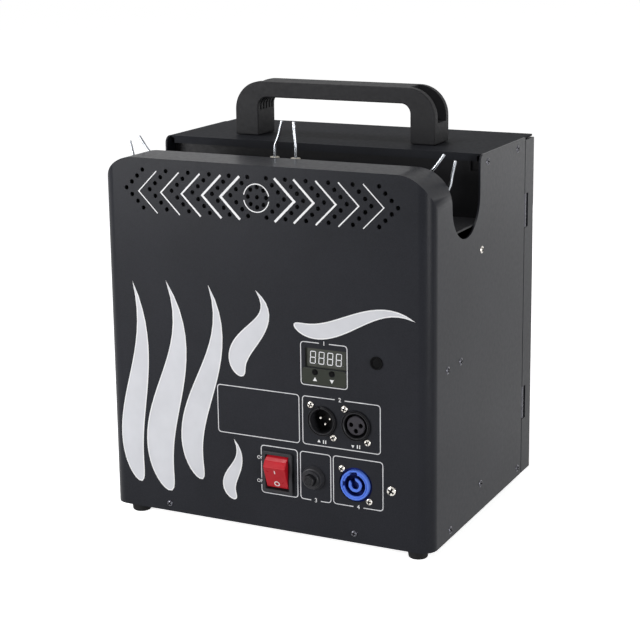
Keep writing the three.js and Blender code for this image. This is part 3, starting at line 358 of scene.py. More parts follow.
# Modelling, in millimetres from the foot of the front panel's outer face
def clear_selection() -> None:
    """Leaves edit mode and deselects everything."""
    if bpy.context.object and bpy.context.object.mode != "OBJECT":
        bpy.ops.object.mode_set(mode="OBJECT")
    bpy.ops.object.select_all(action="DESELECT")


def select_only(piece: Piece) -> None:
    """Selects one piece and makes it active, in object mode.

    Args:
        piece: The piece.
    """
    clear_selection()
    piece.select_set(True)
    bpy.context.view_layer.objects.active = piece


def linked(name: str, data: bpy.types.ID) -> Piece:
    """A new object around a mesh, curve, lamp or camera, selected and active.

    Args:
        name: Its name.
        data: What it holds.

    Returns:
        The object.
    """
    piece = bpy.data.objects.new(name, data)
    bpy.context.scene.collection.objects.link(piece)
    select_only(piece)
    return piece


def copied(piece: Piece, where: Matrix) -> Piece:
    """A copy with its own mesh, moved by a matrix.

    Args:
        piece: The piece, which stays as it is.
        where: How the copy is moved.

    Returns:
        The copy.
    """
    mesh = piece.data.copy()
    mesh.transform(where)
    return linked("draft", mesh)


def reworked(piece: Piece, *steps: Callable[[], object]) -> Piece:
    """Runs mesh operators on the whole of a piece, and then turns its faces outwards.

    Args:
        piece: The piece.
        steps: The operators, each as a function that takes nothing.

    Returns:
        The same piece.
    """
    select_only(piece)
    bpy.ops.object.mode_set(mode="EDIT")
    for step in (*steps, lambda: bpy.ops.mesh.normals_make_consistent(inside=False)):
        bpy.ops.mesh.select_all(action="SELECT")
        step()
    bpy.ops.object.mode_set(mode="OBJECT")
    return piece


def weld() -> None:
    """Merges doubled points, as a step of reworking."""
    bpy.ops.mesh.remove_doubles(threshold=WELD)


def thickened(piece: Piece, way: Sequence[float]) -> Piece:
    """Gives a flat piece its thickness."""
    return reworked(piece, lambda: bpy.ops.mesh.extrude_region_move(TRANSFORM_OT_translate={"value": Vector(way)}))


def turn(degrees: float, axis: str) -> Matrix:
    """A turn by an angle in degrees."""
    return Matrix.Rotation(math.radians(degrees), 4, axis)


def box(low: Point, high: Point) -> Piece:
    """A box between two corners.

    Args:
        low: Its lowest x, y and z.
        high: Its highest ones.

    Returns:
        The new piece.
    """
    clear_selection()
    size = Vector(high) - Vector(low)
    bpy.ops.mesh.primitive_cube_add(size=1.0, location=(Vector(low) + Vector(high)) / 2, scale=size)
    bpy.ops.object.transform_apply(location=True, rotation=True, scale=True)
    return bpy.context.object


def rod(along: Along, centre: Point, length: float, radius: float, sides: int = 32) -> Piece:
    """A round bar, from the middle of its first end along an axis.

    Args:
        along: The axis it lies on.
        centre: The middle of its first end.
        length: How far it reaches along the axis.
        radius: Its radius.
        sides: How many sides it has.

    Returns:
        The new piece.
    """
    clear_selection()
    bpy.ops.mesh.primitive_cone_add(
        vertices=sides, radius1=radius, radius2=radius, depth=length, location=(0, 0, length / 2))
    piece = bpy.context.object
    bpy.ops.object.transform_apply(location=True, rotation=True, scale=True)
    piece.data.transform(Matrix.Translation(centre) @ TURNS[along])
    return piece


def mesh_from(points: Sequence[Point], edges: Sequence[tuple[int, int]], faces: Sequence[Sequence[int]]) -> Piece:
    """A new piece from points, edges and faces, selected and active.

    Args:
        points: Its points.
        edges: Pairs of point numbers, for a bare line.
        faces: The point numbers round each face.

    Returns:
        The new piece.
    """
    mesh = bpy.data.meshes.new("draft")
    mesh.from_pydata([tuple(p) for p in points], edges, faces)
    return linked("draft", mesh)


def spatial(along: Along, a: float, b: float, c: float) -> Point:
    """A flat point (a, b) at the distance c along an axis."""
    return {X: (c, a, b), Y: (a, c, b), Z: (a, b, c)}[along]


def carried(outline: Outline, along: Along, start: float, end: float) -> Piece:
    """Extrudes a closed outline.

    Args:
        outline: Its corners, as (y, z), (x, z) or (x, y) for the X, Y or Z axis.
        along: The axis it is carried along.
        start: Where it starts on that axis.
        end: Where it ends.

    Returns:
        The new piece.
    """
    points = [spatial(along, a, b, start) for a, b in outline]
    return thickened(mesh_from(points, [], [list(range(len(points)))]), spatial(along, 0, 0, end - start))


def spun(profile: Outline, along: Along, centre: Point, steps: int) -> Piece:
    """Turns a profile about an axis.

    Args:
        profile: Pairs of radius and distance along the axis.
        along: The axis.
        centre: The point that distances are measured from.
        steps: How many steps a full turn has.

    Returns:
        The new piece.
    """
    piece = mesh_from([(r, 0.0, h) for r, h in profile], [(i, i + 1) for i in range(len(profile) - 1)], [])
    reworked(piece, lambda: bpy.ops.mesh.spin(steps=steps, angle=math.tau, center=(0, 0, 0), axis=(0, 0, 1)), weld)
    piece.data.transform(Matrix.Translation(centre) @ TURNS[along])
    return piece


def tube(path: Sequence[Point], radius: float) -> Piece:
    """A round wire through a few points, with its bends rounded.

    Args:
        path: The points.
        radius: The radius of the wire.

    Returns:
        The wire as a mesh.
    """
    points = [Vector(p) for p in path]
    line = [points[0]]
    for before, here, after in zip(points, points[1:], points[2:]):
        reach = min((here - before).length, (after - here).length, radius * 4) / 2
        start = here + (before - here).normalized() * reach
        end = here + (after - here).normalized() * reach
        for i in range(ROUNDING + 1):
            t = i / ROUNDING
            line.append(start * (1 - t) ** 2 + here * 2 * t * (1 - t) + end * t ** 2)
    line.append(points[-1])
    curve = bpy.data.curves.new("draft", "CURVE")
    curve.dimensions = "3D"
    curve.bevel_depth = radius
    curve.bevel_resolution = ROUNDING
    curve.use_fill_caps = True
    spline = curve.splines.new("POLY")
    spline.points.add(len(line) - 1)
    for spot, place in zip(spline.points, line):
        spot.co = (*place, 1.0)
    linked("draft", curve)
    bpy.ops.object.convert(target="MESH")
    return reworked(bpy.context.object, weld)


def gathered(pieces: Sequence[Piece]) -> Piece:
    """Puts several meshes into one object, without fusing them.

    Args:
        pieces: The meshes, at least one.

    Returns:
        The first of them, which holds them all.
    """
    select_only(pieces[0])
    for piece in pieces[1:]:
        piece.select_set(True)
    if len(pieces) > 1:
        bpy.ops.object.join()
    return bpy.context.object


def modified(piece: Piece, kind: str, **settings: object) -> Piece:
    """Applies a modifier with the given settings.

    Args:
        piece: The piece.
        kind: The type of the modifier.
        settings: Its attributes.

    Returns:
        The same piece.
    """
    select_only(piece)
    modifier = piece.modifiers.new("shape", kind)
    for name, value in settings.items():
        setattr(modifier, name, value)
    bpy.ops.object.modifier_apply(modifier=modifier.name)
    return piece


def combined(piece: Piece, other: Piece, operation: str) -> Piece:
    """Applies a boolean and removes the other mesh.

    Args:
        piece: The piece.
        other: The mesh that is joined to it or cut out of it.
        operation: UNION or DIFFERENCE.

    Returns:
        The same piece.
    """
    modified(piece, "BOOLEAN", operation=operation, solver="EXACT", object=other)
    bpy.data.objects.remove(other)
    return piece


def fused(piece: Piece, *others: Piece) -> Piece:
    """Joins solids into one.

    Args:
        piece: The first solid.
        others: The solids that go into it.

    Returns:
        The first solid.
    """
    for other in others:
        combined(piece, other, "UNION")
    return piece


def cut(piece: Piece, *cutters: Piece) -> Piece:
    """Cuts solids, which don't touch each other, out of a piece."""
    return combined(piece, gathered(cutters), "DIFFERENCE")


def soften(piece: Piece, width: float, segments: int, angle: float = 40.0) -> Piece:
    """Rounds every edge that is sharper than an angle in degrees."""
    return modified(piece, "BEVEL", width=width, segments=segments, limit_method="ANGLE",
                    angle_limit=math.radians(angle), use_clamp_overlap=True)


def settle(piece: Piece, name: str, finish: Finish, *stands_for: str, smooth: float = 32.0, slot: str = "",
           body: Body = Body.CHASSIS) -> None:
    """Finishes a piece: shading, place, material and what it rides on.

    Args:
        piece: The draft, in millimetres.
        name: Its name.
        finish: Its surface.
        stands_for: The CAD nodes it replaces.
        smooth: Edges flatter than this angle in degrees are shaded smooth.
        slot: The record's material slot, where it isn't the finish's usual one; not used.
        body: The body it moves with.
    """
    select_only(piece)
    bpy.ops.object.shade_smooth_by_angle(angle=math.radians(smooth))
    modified(piece, "WEIGHTED_NORMAL", keep_sharp=True)
    piece.data.transform(Matrix.Translation(DROP) @ Matrix.Scale(MM, 4))
    piece.name = name
    piece.data.name = name
    piece.data.materials.clear()
    piece.data.materials.append(finish.build())
    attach(piece, body.value)
    if stands_for:
        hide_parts(*stands_for)
    LOG.info("built %s with %d faces", name, len(piece.data.polygons))


def arc(centre: Flat, radius: float, start: float, end: float, steps: int) -> list[Flat]:
    """Points on an arc, with its angles in degrees."""
    turns = [math.radians(start + (end - start) * i / steps) for i in range(steps + 1)]
    return [(centre[0] + radius * math.cos(t), centre[1] + radius * math.sin(t)) for t in turns]


def rounded_rectangle(a0: float, a1: float, b0: float, b1: float, radius: float, steps: int = 6) -> list[Flat]:
    """The outline of a rectangle with round corners.

    Args:
        a0: Its left side.
        a1: Its right side.
        b0: Its bottom.
        b1: Its top.
        radius: The radius of its corners.
        steps: How many steps a corner has.

    Returns:
        The outline, from the right end of its bottom line on.
    """
    corners = ((a1 - radius, b0 + radius), (a1 - radius, b1 - radius), (a0 + radius, b1 - radius),
               (a0 + radius, b0 + radius))
    return [spot for i, middle in enumerate(corners) for spot in arc(middle, radius, 90 * i - 90, 90 * i, steps)]


# The middles of what the front panel holds, as (x, z)
VENTS = (-2.0, 263.2)
DISPLAY = (53.7, 142.9)
KEYS = ((45.0, 131.9), (59.2, 131.9))
SPARE_HOLE = (96.1, 144.8)
SIGNAL_IN = (50.5, 93.8)
SIGNAL_OUT = (79.0, 93.8)
INLET = (78.3, 46.8)
BREAKER = (42.7, 47.3)
SWITCH = (12.0, 47.3)
FLANGE_HALF = 13.0  # Half the width of a connector's flange, and of the switch's bezel


# Shapes about a place on the front panel: a round cutter or bar, a turned profile, a block and a plate
def bar(middle: Flat, start: float, length: float, radius: float, sides: int) -> Piece:
    """A round bar that runs into the panel."""
    return rod(Y, (middle[0], start, middle[1]), length, radius, sides)


def turned(profile: Outline, middle: Flat, steps: int) -> Piece:
    """Turns a profile of radii and depths."""
    return spun(profile, Y, (middle[0], 0, middle[1]), steps)


def block(middle: Flat, half_width: float, half_height: float, start: float, end: float) -> Piece:
    """A square block between two depths."""
    x, z = middle
    return box((x - half_width, start, z - half_height), (x + half_width, end, z + half_height))


def plate(middle: Flat, half_height: float, corner: float, start: float, end: float) -> Piece:
    """A plate as wide as a connector's flange, with round corners, between two depths.

    Args:
        middle: Its middle on the panel.
        half_height: Half its height.
        corner: The radius of its corners.
        start: The depth of its front.
        end: The depth of its back.

    Returns:
        The plate.
    """
    x, z = middle
    half = FLANGE_HALF
    return carried(rounded_rectangle(x - half, x + half, z - half_height, z + half_height, corner), Y, start, end)


def around(middle: Flat, radius: float, degrees: float) -> Flat:
    """A place at a distance from a middle, along an angle in degrees."""
    return (middle[0] + radius * math.cos(math.radians(degrees)), middle[1] + radius * math.sin(math.radians(degrees)))


@dataclass
class Cover:
    """The folded cover: front panel, sides and the strip over the top, with its holes and its notches."""

    half_width: float = 140.5
    side_depth: float = 199.8
    height: float = 287.5
    wall_height: float = 289.4
    sheet: float = 1.5
    front_bend: float = 12.0
    top_corner: float = 28.0
    corner_reach: float = 40.0
    strip_depth: float = 39.0
    notch_width: float = 58.0
    notch_bottom: float = 230.0
    mouth_radius: float = 6.0
    over: float = 3.0
    vent_radius: float = 1.8
    vent_pitch: float = 5.0
    vent_first: float = 22.9
    vent_step: float = 16.0
    vent_growth: float = 0.64
    vent_rows: int = 6
    ring_radius: float = 7.8
    window_halves: tuple[tuple[Flat, float, float], ...] = ((DISPLAY, 17.25, 7.6), (SWITCH, 11.8, 14.8))
    round_holes: tuple[tuple[Flat, float, int], ...] = (
        (SIGNAL_IN, 12.1, 48), (SIGNAL_OUT, 12.1, 48), (INLET, 13.7, 48), (BREAKER, 6.1, 48), (SPARE_HOLE, 4.5, 48),
        (KEYS[0], 2.1, 24), (KEYS[1], 2.1, 24))

    def hull(self, inset: float, bottom: float, back: float, top: float) -> Piece:
        """The cover's space, shrunk by an inset: round front edges, and round top corners over the strip.

        Args:
            inset: How far it is inside the outer face.
            bottom: Its lowest height.
            back: How deep it is.
            top: Its highest height.

        Returns:
            The solid.
        """
        half = self.half_width - inset
        bend = self.front_bend - inset
        plan = [(half, back), (-half, back), *arc((bend - half, self.front_bend), bend, 180, 270, 10),
                *arc((half - bend, self.front_bend), bend, -90, 0, 10)]
        hull = carried(plan, Z, bottom, top)
        radius = self.top_corner - inset
        roof = self.height - inset
        foot = self.height - self.top_corner - self.corner_reach
        front = [(-half, foot), (half, foot), *arc((half - radius, roof - radius), radius, 0, 90, 16),
                 *arc((radius - half, roof - radius), radius, 90, 180, 16)]
        above = box(
            (-self.half_width - self.over, -self.over, self.height - self.top_corner),
            (self.half_width + self.over, self.strip_depth, top + self.over))
        return cut(hull, cut(above, carried(front, Y, -self.over * 2, self.strip_depth + self.over)))

    def notch(self) -> Piece:
        """The U that is cut through both sides, open on top.

        Returns:
            The cutter.
        """
        front, radius, mouth = self.strip_depth, self.notch_width / 2, self.mouth_radius
        lip = front + self.notch_width + mouth
        outline = [
            (front, self.wall_height + self.over),
            *arc((front + radius, self.notch_bottom + radius), radius, 180, 360, 32),
            *arc((lip, self.wall_height - mouth), mouth, 180, 90, 8), (lip, self.wall_height + self.over)]
        return carried(outline, X, -self.half_width - self.over, self.half_width + self.over)

    def vent_places(self) -> list[Flat]:
        """The middles of the vent holes: a ring, and arrowheads that point outwards on both sides of it.

        Returns:
            One place for each hole.
        """
        cx, cz = VENTS
        places = [VENTS, *(around(VENTS, self.ring_radius, 45 * i) for i in range(8))]
        for _, side in ENDS:
            for k in range(self.vent_rows):
                apex = self.vent_first + self.vent_step * k + self.vent_growth * k * (k - 1)
                places += [(cx + side * (apex - self.vent_pitch * abs(j)), cz + self.vent_pitch * j)
                           for j in range(-3, 4)]
        return places

    def build(self) -> None:
        """Makes the cover."""
        shell = self.hull(0.0, 0.0, self.side_depth, self.wall_height)
        space = self.hull(self.sheet, -self.over, self.side_depth + self.over, self.wall_height + self.over)
        shell = cut(cut(shell, space), self.notch())
        openings = [block(*window, -self.over, self.sheet + self.over) for window in self.window_halves]
        vents = [(place, self.vent_radius, 20) for place in self.vent_places()]
        for place, radius, sides in (*self.round_holes, *vents):
            openings.append(bar(place, -self.over, self.sheet + self.over * 2, radius, sides))
        settle(cut(shell, *openings), "cover", POWDER_COAT, "cover_shell", smooth=28)


@dataclass
class CarryHandle:
    """The moulded bridge handle: a channel down each end and ribs under the grip."""

    half: float = 90.0
    front: float = 128.0
    depth: float = 30.0
    base: float = 289.7
    top: float = 334.8
    leg: float = 21.5
    grip: float = 13.0
    corner: float = 24.0
    inner_corner: float = 8.0
    channel_width: float = 18.0
    channel_depth: float = 13.0
    channel_foot: float = 17.0
    edge: float = 1.3
    rib_count: int = 5
    rib_reach: float = 11.0
    rib_depth: float = 1.3
    rib_gap: float = 2.2
    over: float = 3.0

    def build(self) -> None:
        """Makes the handle."""
        inner = self.half - self.leg
        under = self.top - self.grip
        back = self.front + self.depth
        small, large = self.inner_corner, self.corner
        outline = [
            (-self.half, self.base), (-inner, self.base), *arc((small - inner, under - small), small, 180, 90, 10),
            *arc((inner - small, under - small), small, 90, 0, 10), (inner, self.base), (self.half, self.base),
            *arc((self.half - large, self.top - large), large, 0, 90, 16),
            *arc((large - self.half, self.top - large), large, 90, 180, 16)]
        handle = soften(carried(outline, Y, self.front, back), self.edge, 3)
        for groove in self.grooves(inner, under):
            handle = cut(handle, groove)
        lane = (self.depth - self.channel_width) / 2
        foot = self.base + self.channel_foot
        for _, side in ENDS:
            middle = (side * (self.half - large), self.top - large)
            angles = (0, 90) if side > 0 else (180, 90)
            channel = [
                (side * (self.half + self.over), foot), *arc(middle, large + self.over, *angles, 14),
                *arc(middle, large - self.channel_depth, *reversed(angles), 14),
                (side * (self.half - self.channel_depth), foot)]
            handle = cut(handle, carried(channel, Y, self.front + lane, back - lane))
        settle(handle, "handle", MOULDED_ABS, "carry_handle", smooth=28)

    def grooves(self, inner: float, under: float) -> list[Piece]:
        """The grooves along the grip's underside that run a little way down both legs.

        Args:
            inner: How far the legs' inner faces stand from the middle.
            under: The height of the grip's underside.

        Returns:
            One cutter for each groove.
        """
        foot = under - self.rib_reach
        reach = inner - self.inner_corner
        level = under - self.inner_corner
        deep = self.inner_corner + self.rib_depth
        shallow = self.inner_corner - self.rib_depth
        outline = [
            (-reach - deep, foot), *arc((-reach, level), deep, 180, 90, 10), *arc((reach, level), deep, 90, 0, 10),
            (reach + deep, foot), (reach + shallow, foot), *arc((reach, level), shallow, 0, 90, 10),
            *arc((-reach, level), shallow, 90, 180, 10), (-reach - shallow, foot)]
        step = self.depth / (self.rib_count + 1)
        places = [self.front + step * (i + 1) for i in range(self.rib_count)]
        return [carried(outline, Y, y - self.rib_gap / 2, y + self.rib_gap / 2) for y in places]


@dataclass
class Feet:
    """Four rubber feet, each held by a screw from below."""

    x: float = 123.5
    rows: tuple[tuple[str, float], ...] = (("front", 15.0), ("rear", 185.8))
    top: float = -0.3
    height: float = 8.5
    top_radius: float = 8.6
    foot_radius: float = 7.4
    screw_radius: float = 3.4
    screw_depth: float = 3.5

    def build(self) -> None:
        """Makes the feet."""
        low = self.top - self.height
        profile = [
            (0, low + self.screw_depth), (self.screw_radius, low + self.screw_depth), (self.screw_radius, low + 0.4),
            (self.screw_radius + 0.4, low), (self.foot_radius - 0.6, low), (self.foot_radius, low + 0.6),
            (self.top_radius, self.top - 0.5), (self.top_radius - 0.5, self.top), (0, self.top)]
        foot = spun(profile, Z, (0, 0, 0), 36)
        for row, y in self.rows:
            for label, side in ENDS:
                copy = copied(foot, Matrix.Translation((side * self.x, y, 0)))
                settle(copy, f"rubber_foot_{row}_{label}", RUBBER, f"foot_{row}_{label}", smooth=35)
        bpy.data.objects.remove(foot)


@dataclass
class FlameHead:
    """One flame head: ceramic posts on a base, a brass nozzle between them and two spark wires."""

    label: str
    seat: Point
    tilt: float
    base_length: float = 31.0
    base_width: float = 20.0
    base_height: float = 4.0
    spacing: float = 18.1
    post_radius: float = 3.8
    post_height: float = 49.5
    wire_radius: float = 1.15
    tip_height: float = 76.0
    lean: float = 0.0

    def place(self, piece: Piece, name: str, finish: Finish, stands_for: str, smooth: float) -> None:
        """Tilts a piece that was modelled upright, sets it on its seat and finishes it.

        Args:
            piece: The draft.
            name: Its name.
            finish: Its surface.
            stands_for: The CAD node it replaces.
            smooth: Edges flatter than this angle in degrees are shaded smooth.
        """
        piece.data.transform(Matrix.Translation(self.seat) @ Matrix.Rotation(self.tilt, 4, "Y"))
        settle(piece, name, finish, stands_for, smooth=smooth)

    def post(self) -> Piece:
        """A glazed post with three cooling rings and a rim round its wire.

        Returns:
            The post, upright at the left one's place.
        """
        top, r = self.post_height, self.post_radius
        profile = [(0, 0.5), (r - 0.2, 0.5), (r - 0.2, 10)]
        for z in (13, 19, 25):
            profile += [(r - 0.8, z - 1.2), (r, z), (r, z + 1), (r - 0.8, z + 2.2)]
        profile += [(r - 0.8, top - 3), (r, top - 2), (r, top - 0.4), (r - 0.4, top), (1.5, top), (1.5, top - 7.5),
                    (0, top - 7.5)]
        return spun(profile, Z, (-self.spacing / 2, 0, 0), 28)

    def build(self) -> None:
        """Makes the head."""
        half = self.spacing / 2
        long, wide = self.base_length / 2, self.base_width / 2
        base = soften(carried(rounded_rectangle(-long, long, -wide, wide, 5.0), Z, 0, self.base_height), 0.5, 2)
        base = cut(base, rod(Z, (0, 0, -3), 10, 4.3, 24))
        post = self.post()
        base = fused(base, post, copied(post, Matrix.Translation((self.spacing, 0, 0))))
        self.place(base, f"ceramic_posts_{self.label}", CERAMIC, f"electrode_holder_{self.label}", 32)
        jet = spun([
            (0, -9), (3.6, -9), (4, -8.6), (4, 4.3), (4.3, 4.3), (4.3, 9.8), (4, 11), (4, 16.2), (3.2, 17.4),
            (2, 23.6), (1.5, 24.3), (0.8, 24.3), (0.8, 18), (0, 18)], Z, (0, 0, 0), 32)
        nut = soften(rod(Z, (0, 0, 4.4), 5.4, 4.9, 6), 0.5, 2)
        self.place(gathered([jet, nut]), f"gas_jet_{self.label}", BRASS, f"nozzle_{self.label}", 32)
        for letter, side in (("a", -1), ("b", 1)):
            wire = tube([
                (side * half, 0, self.post_height - 7.4), (side * half + self.lean * 0.1, 0, 58.5),
                (side * 7.3 + self.lean * 0.5, 0, 64), (side * 4.9 + self.lean, 0, self.tip_height)],
                self.wire_radius)
            self.place(wire, f"spark_wire_{self.label}_{letter}", STAINLESS, f"electrode_{self.label}_{letter}", 50)


@dataclass
class Screws:
    """Cross-head screws: a blank is modelled once and copied to every place, and each copy gets its cross, with a
    near-black cross sunk in the recess as painted shade.
    """

    radius: float = 2.9
    height: float = 1.5
    recess_depth: float = 1.1
    recess_length: float = 4.1
    recess_width: float = 1.15
    shade_cross_depth: float = 0.4
    gap: float = 0.05
    side_face: float = 139.65
    side_places: tuple[Flat, ...] = (
        (113.2, 282.2), (182.4, 282.2), (31.8, 136.0), (58.4, 136.0), (103.1, 22.9), (38.4, 6.8), (191.0, 7.4))

    def blank(self) -> Piece:
        """A domed head on the y axis that faces -y.

        Returns:
            The head, without its recess.
        """
        r = self.radius
        profile = [(0, 0), (r, 0), (r, -0.5), (r * 0.9, -1.0), (r * 0.66, -1.34), (r * 0.3, -self.height),
                   (0, -self.height)]
        return spun(profile, Y, (0, 0, 0), 28)

    def cross(self, degrees: float, top: float, inset: float) -> Piece:
        """The cross of the recess as a solid.

        Args:
            degrees: The turn of its arms.
            top: Where it starts, in front of the head's foot.
            inset: How much smaller than the recess it is all round.

        Returns:
            The cross.
        """
        half_length = self.recess_length / 2 - inset
        half_width = self.recess_width / 2 - inset
        arm = block((0, 0), half_length, half_width, top, -self.height + self.recess_depth)
        arms = [copied(arm, turn(angle, "Y")) for angle in (degrees, degrees + 90)]
        bpy.data.objects.remove(arm)
        return fused(*arms)

    def row(self, places: Sequence[tuple[Point, float, float]], name: str, finish: Finish,
            facing: float = 0.0) -> None:
        """Sets one head at each place, each with a near-black cross in its recess as painted shade.

        Args:
            places: Each head's place, the turn of its cross, and its size as a share of the full size.
            name: The name of the whole row.
            finish: Their finish.
            facing: How far the heads are turned about the z axis, in degrees, from facing -y.
        """
        heads, shade_crosses = [], []
        blank = self.blank()
        for place, degrees, size in places:
            where = Matrix.Translation(place) @ turn(facing, "Z") @ Matrix.Scale(size, 4)
            heads.append(cut(copied(blank, Matrix.Identity(4)), self.cross(degrees, -self.height - 1, 0.0)))
            # A near-black cross just under the head's top in each recess: painted shade of the recess.
            shade_crosses.append(self.cross(degrees, -self.height + self.shade_cross_depth, self.gap / 2))
            for piece in (heads[-1], shade_crosses[-1]):
                piece.data.transform(where)
        bpy.data.objects.remove(blank)
        settle(gathered(heads), name, finish, smooth=35)
        settle(gathered(shade_crosses), f"{name}_recess_shade", RECESS_SHADE, smooth=35, slot=finish.slot)

    def build(self) -> None:
        """Makes the screws of the front and the two sides."""
        flange = 0.94
        nickel = [(SIGNAL_IN, -9.5, 12, 20, flange), (SIGNAL_IN, 9.5, -12, 65, flange),
                  (SIGNAL_OUT, -9.5, 12, 20, flange), (SIGNAL_OUT, 9.5, -12, 65, flange),
                  (INLET, -11.4, 11.7, 35, flange), (INLET, 11.4, -11.7, 5, flange), ((108.1, 46.5), 0, 0, 30, 1.34)]
        black = [((76.7, 7.4), 0, 0, 10, 0.85), ((-87.2, 6.5), 0, 0, 40, 0.85)]
        for name, finish, rows in (("nickel", NICKEL, nickel), ("black", BLACK_OXIDE, black)):
            self.row([((x + dx, -self.gap, z + dz), degrees, size) for (x, z), dx, dz, degrees, size in rows],
                     f"{name}_screws_front", finish)
        for label, side in ENDS[::-1]:
            edge = side * self.side_face
            self.row([((edge, y, z), 15 + 23 * i, 1.12) for i, (y, z) in enumerate(self.side_places)],
                     f"black_screws_{label}", BLACK_OXIDE, 90 * side)
            self.row([((edge, 101.7, 214.8), 55, 1.1)], f"nickel_screw_{label}", NICKEL, 90 * side)


@dataclass
class Print:
    """What is screen-printed on the front panel: line frames, arrowheads, marks and a flame pattern."""

    lift: float = 0.03
    film: float = 0.06
    line: float = 0.66
    corner: float = 2.5
    corner_points: int = 6
    arm: float = 16.6
    capital: float = 1.42
    swell_peak: float = 0.37
    rim: float = 0.9

    def flat(self, outline: Outline, raised: float = 0.0) -> Piece:
        """A thin film on the panel with the given outline."""
        start = -self.lift - raised
        return carried(outline, Y, start, start - self.film)

    def stroke(self, path: Outline, width: float, closed: bool = False) -> Piece:
        """A printed line along a path, mitred at its corners.

        Args:
            path: The line's middle.
            width: Its width.
            closed: Whether it comes back to its start.

        Returns:
            The line as a film.
        """
        spots = [Vector(p) for p in path]
        count = len(spots)
        left, right = [], []
        for i, here in enumerate(spots):
            before = spots[i - 1] if closed or i > 0 else None
            after = spots[(i + 1) % count] if closed or i < count - 1 else None
            first = (here - before).normalized() if before is not None else (after - here).normalized()
            second = (after - here).normalized() if after is not None else first
            normal = Vector((-first.y - second.y, first.x + second.x)).normalized()
            reach = width / 2 / max(0.3, normal.dot(Vector((-first.y, first.x))))
            left.append(here + normal * reach)
            right.append(here - normal * reach)
        points = [(p.x, -self.lift, p.y) for p in (*left, *right)]
        spans = count if closed else count - 1
        faces = [(i, (i + 1) % count, count + (i + 1) % count, count + i) for i in range(spans)]
        return thickened(mesh_from(points, [], faces), (0, -self.film, 0))

    def frame_line(self, x0: float, x1: float, z0: float, z1: float, side: str = "", start: float = 0.0,
                   end: float = 0.0) -> Piece:
        """A frame with round corners, open over a gap in its top, bottom or left line.

        Args:
            x0: Left side.
            x1: Right side.
            z0: Bottom.
            z1: Top.
            side: The side that is open, if any.
            start: Where the opening starts.
            end: Where the opening ends.

        Returns:
            The printed frame.
        """
        outline = rounded_rectangle(x0, x1, z0, z1, self.corner, self.corner_points - 1)
        if not side:
            return self.stroke(outline, self.line, True)
        corner, before, after = {
            "bottom": (0, (end, z0), (start, z0)), "top": (2, (start, z1), (end, z1)),
            "left": (3, (x0, start), (x0, end))}[side]
        first = corner * self.corner_points
        return self.stroke([before, *outline[first:], *outline[:first], after], self.line)

    def frames(self) -> None:
        """The six line frames round the controls, one of them with a short line in its gap."""
        lines = [self.frame_line(*row) for row in (
            (33.1, 72.0, 121.3, 155.0, "top", 48.6, 57.0), (34.0, 99.0, 73.9, 112.2, "top", 61.3, 69.7),
            (-40.3, 31.0, 73.7, 112.3), (-2.6, 29.0, 29.0, 67.6, "left", 35.4, 59.6),
            (31.5, 57.4, 29.0, 67.4, "bottom", 40.3, 48.7), (59.6, 101.0, 29.2, 67.7, "bottom", 76.3, 84.7))]
        lines.append(self.stroke([(-2.6, 40.6), (-2.6, 54.6)], self.line))
        settle(gathered(lines), "frame_lines", LINE_INK, smooth=30)

    def vent_marks(self) -> None:
        """Arrowheads between the rows of vent holes, thicker towards the middle, and a split ring."""
        marks = []
        cx, cz = VENTS
        for _, side in ENDS:
            for apex, width in ((31.5, 1.9), (47.6, 1.7), (65.9, 1.35), (84.5, 1.0), (104.6, 0.8)):
                tip = cx + side * apex
                level = cz - 1.35 + 0.0066 * tip
                foot = tip - side * self.arm
                marks.append(self.stroke([(foot, level + self.arm), (tip, level), (foot, level - self.arm)], width))
        for start in (11, 191):
            marks.append(self.stroke(arc((cx - 0.6, cz - 0.7), 10.8, start, start + 158, 28), 0.8))
        settle(gathered(marks), "vent_marks", WHITE_INK, smooth=30)

    def words(self, text: str, x: float, z: float, height: float) -> Piece:
        """Plain letters or digits, centred on a place of the panel.

        Args:
            text: The letters.
            x: Their middle.
            z: Their middle height.
            height: How tall a capital is.

        Returns:
            The letters as a film.
        """
        clear_selection()
        bpy.ops.object.text_add()
        letters = bpy.context.object.data
        letters.body = text
        letters.size = height * self.capital
        letters.align_x = letters.align_y = "CENTER"
        letters.offset = 0.012 * height
        letters.extrude = self.film / 2
        letters.resolution_u = 4
        bpy.ops.object.convert(target="MESH")
        piece = bpy.context.object
        piece.data.transform(Matrix.Translation((x, -self.lift - self.film / 2, z)) @ turn(90, "X"))
        return reworked(piece, weld)

    def triangle(self, x: float, z: float, size: float, degrees: float, raised: float = 0.0) -> Piece:
        """A small solid arrowhead that points along an angle in degrees."""
        return self.flat([around((x, z), size, degrees + a) for a in (0, 120, 240)], raised)

    def symbols(self) -> None:
        """Plain numbers in the frames' gaps, and arrows, ON and OFF by the controls."""
        marks = [self.words(*row) for row in (
            ("1", 52.8, 155.0, 3.3), ("2", 65.5, 112.2, 3.3), ("3", 44.5, 29.0, 3.3), ("4", 80.5, 29.2, 3.3),
            ("ON", -3.2, 57.1, 2.7), ("OFF", -3.4, 38.0, 2.7))]
        for x, z, degrees in ((45.0, 126.0, 90), (59.2, 126.4, -90)):
            marks.append(self.triangle(x, z, 2.0, degrees, self.film * 2))
        for (x, _), degrees in ((SIGNAL_IN, 90), (SIGNAL_OUT, -90)):
            marks.append(self.triangle(x - 2.8, 77.4, 1.5, degrees))
            marks += [self.stroke([(x + dx, 76.0), (x + dx, 78.8)], 0.8) for dx in (1.0, 2.9)]
        settle(gathered(marks), "printed_marks", WHITE_INK, smooth=30)

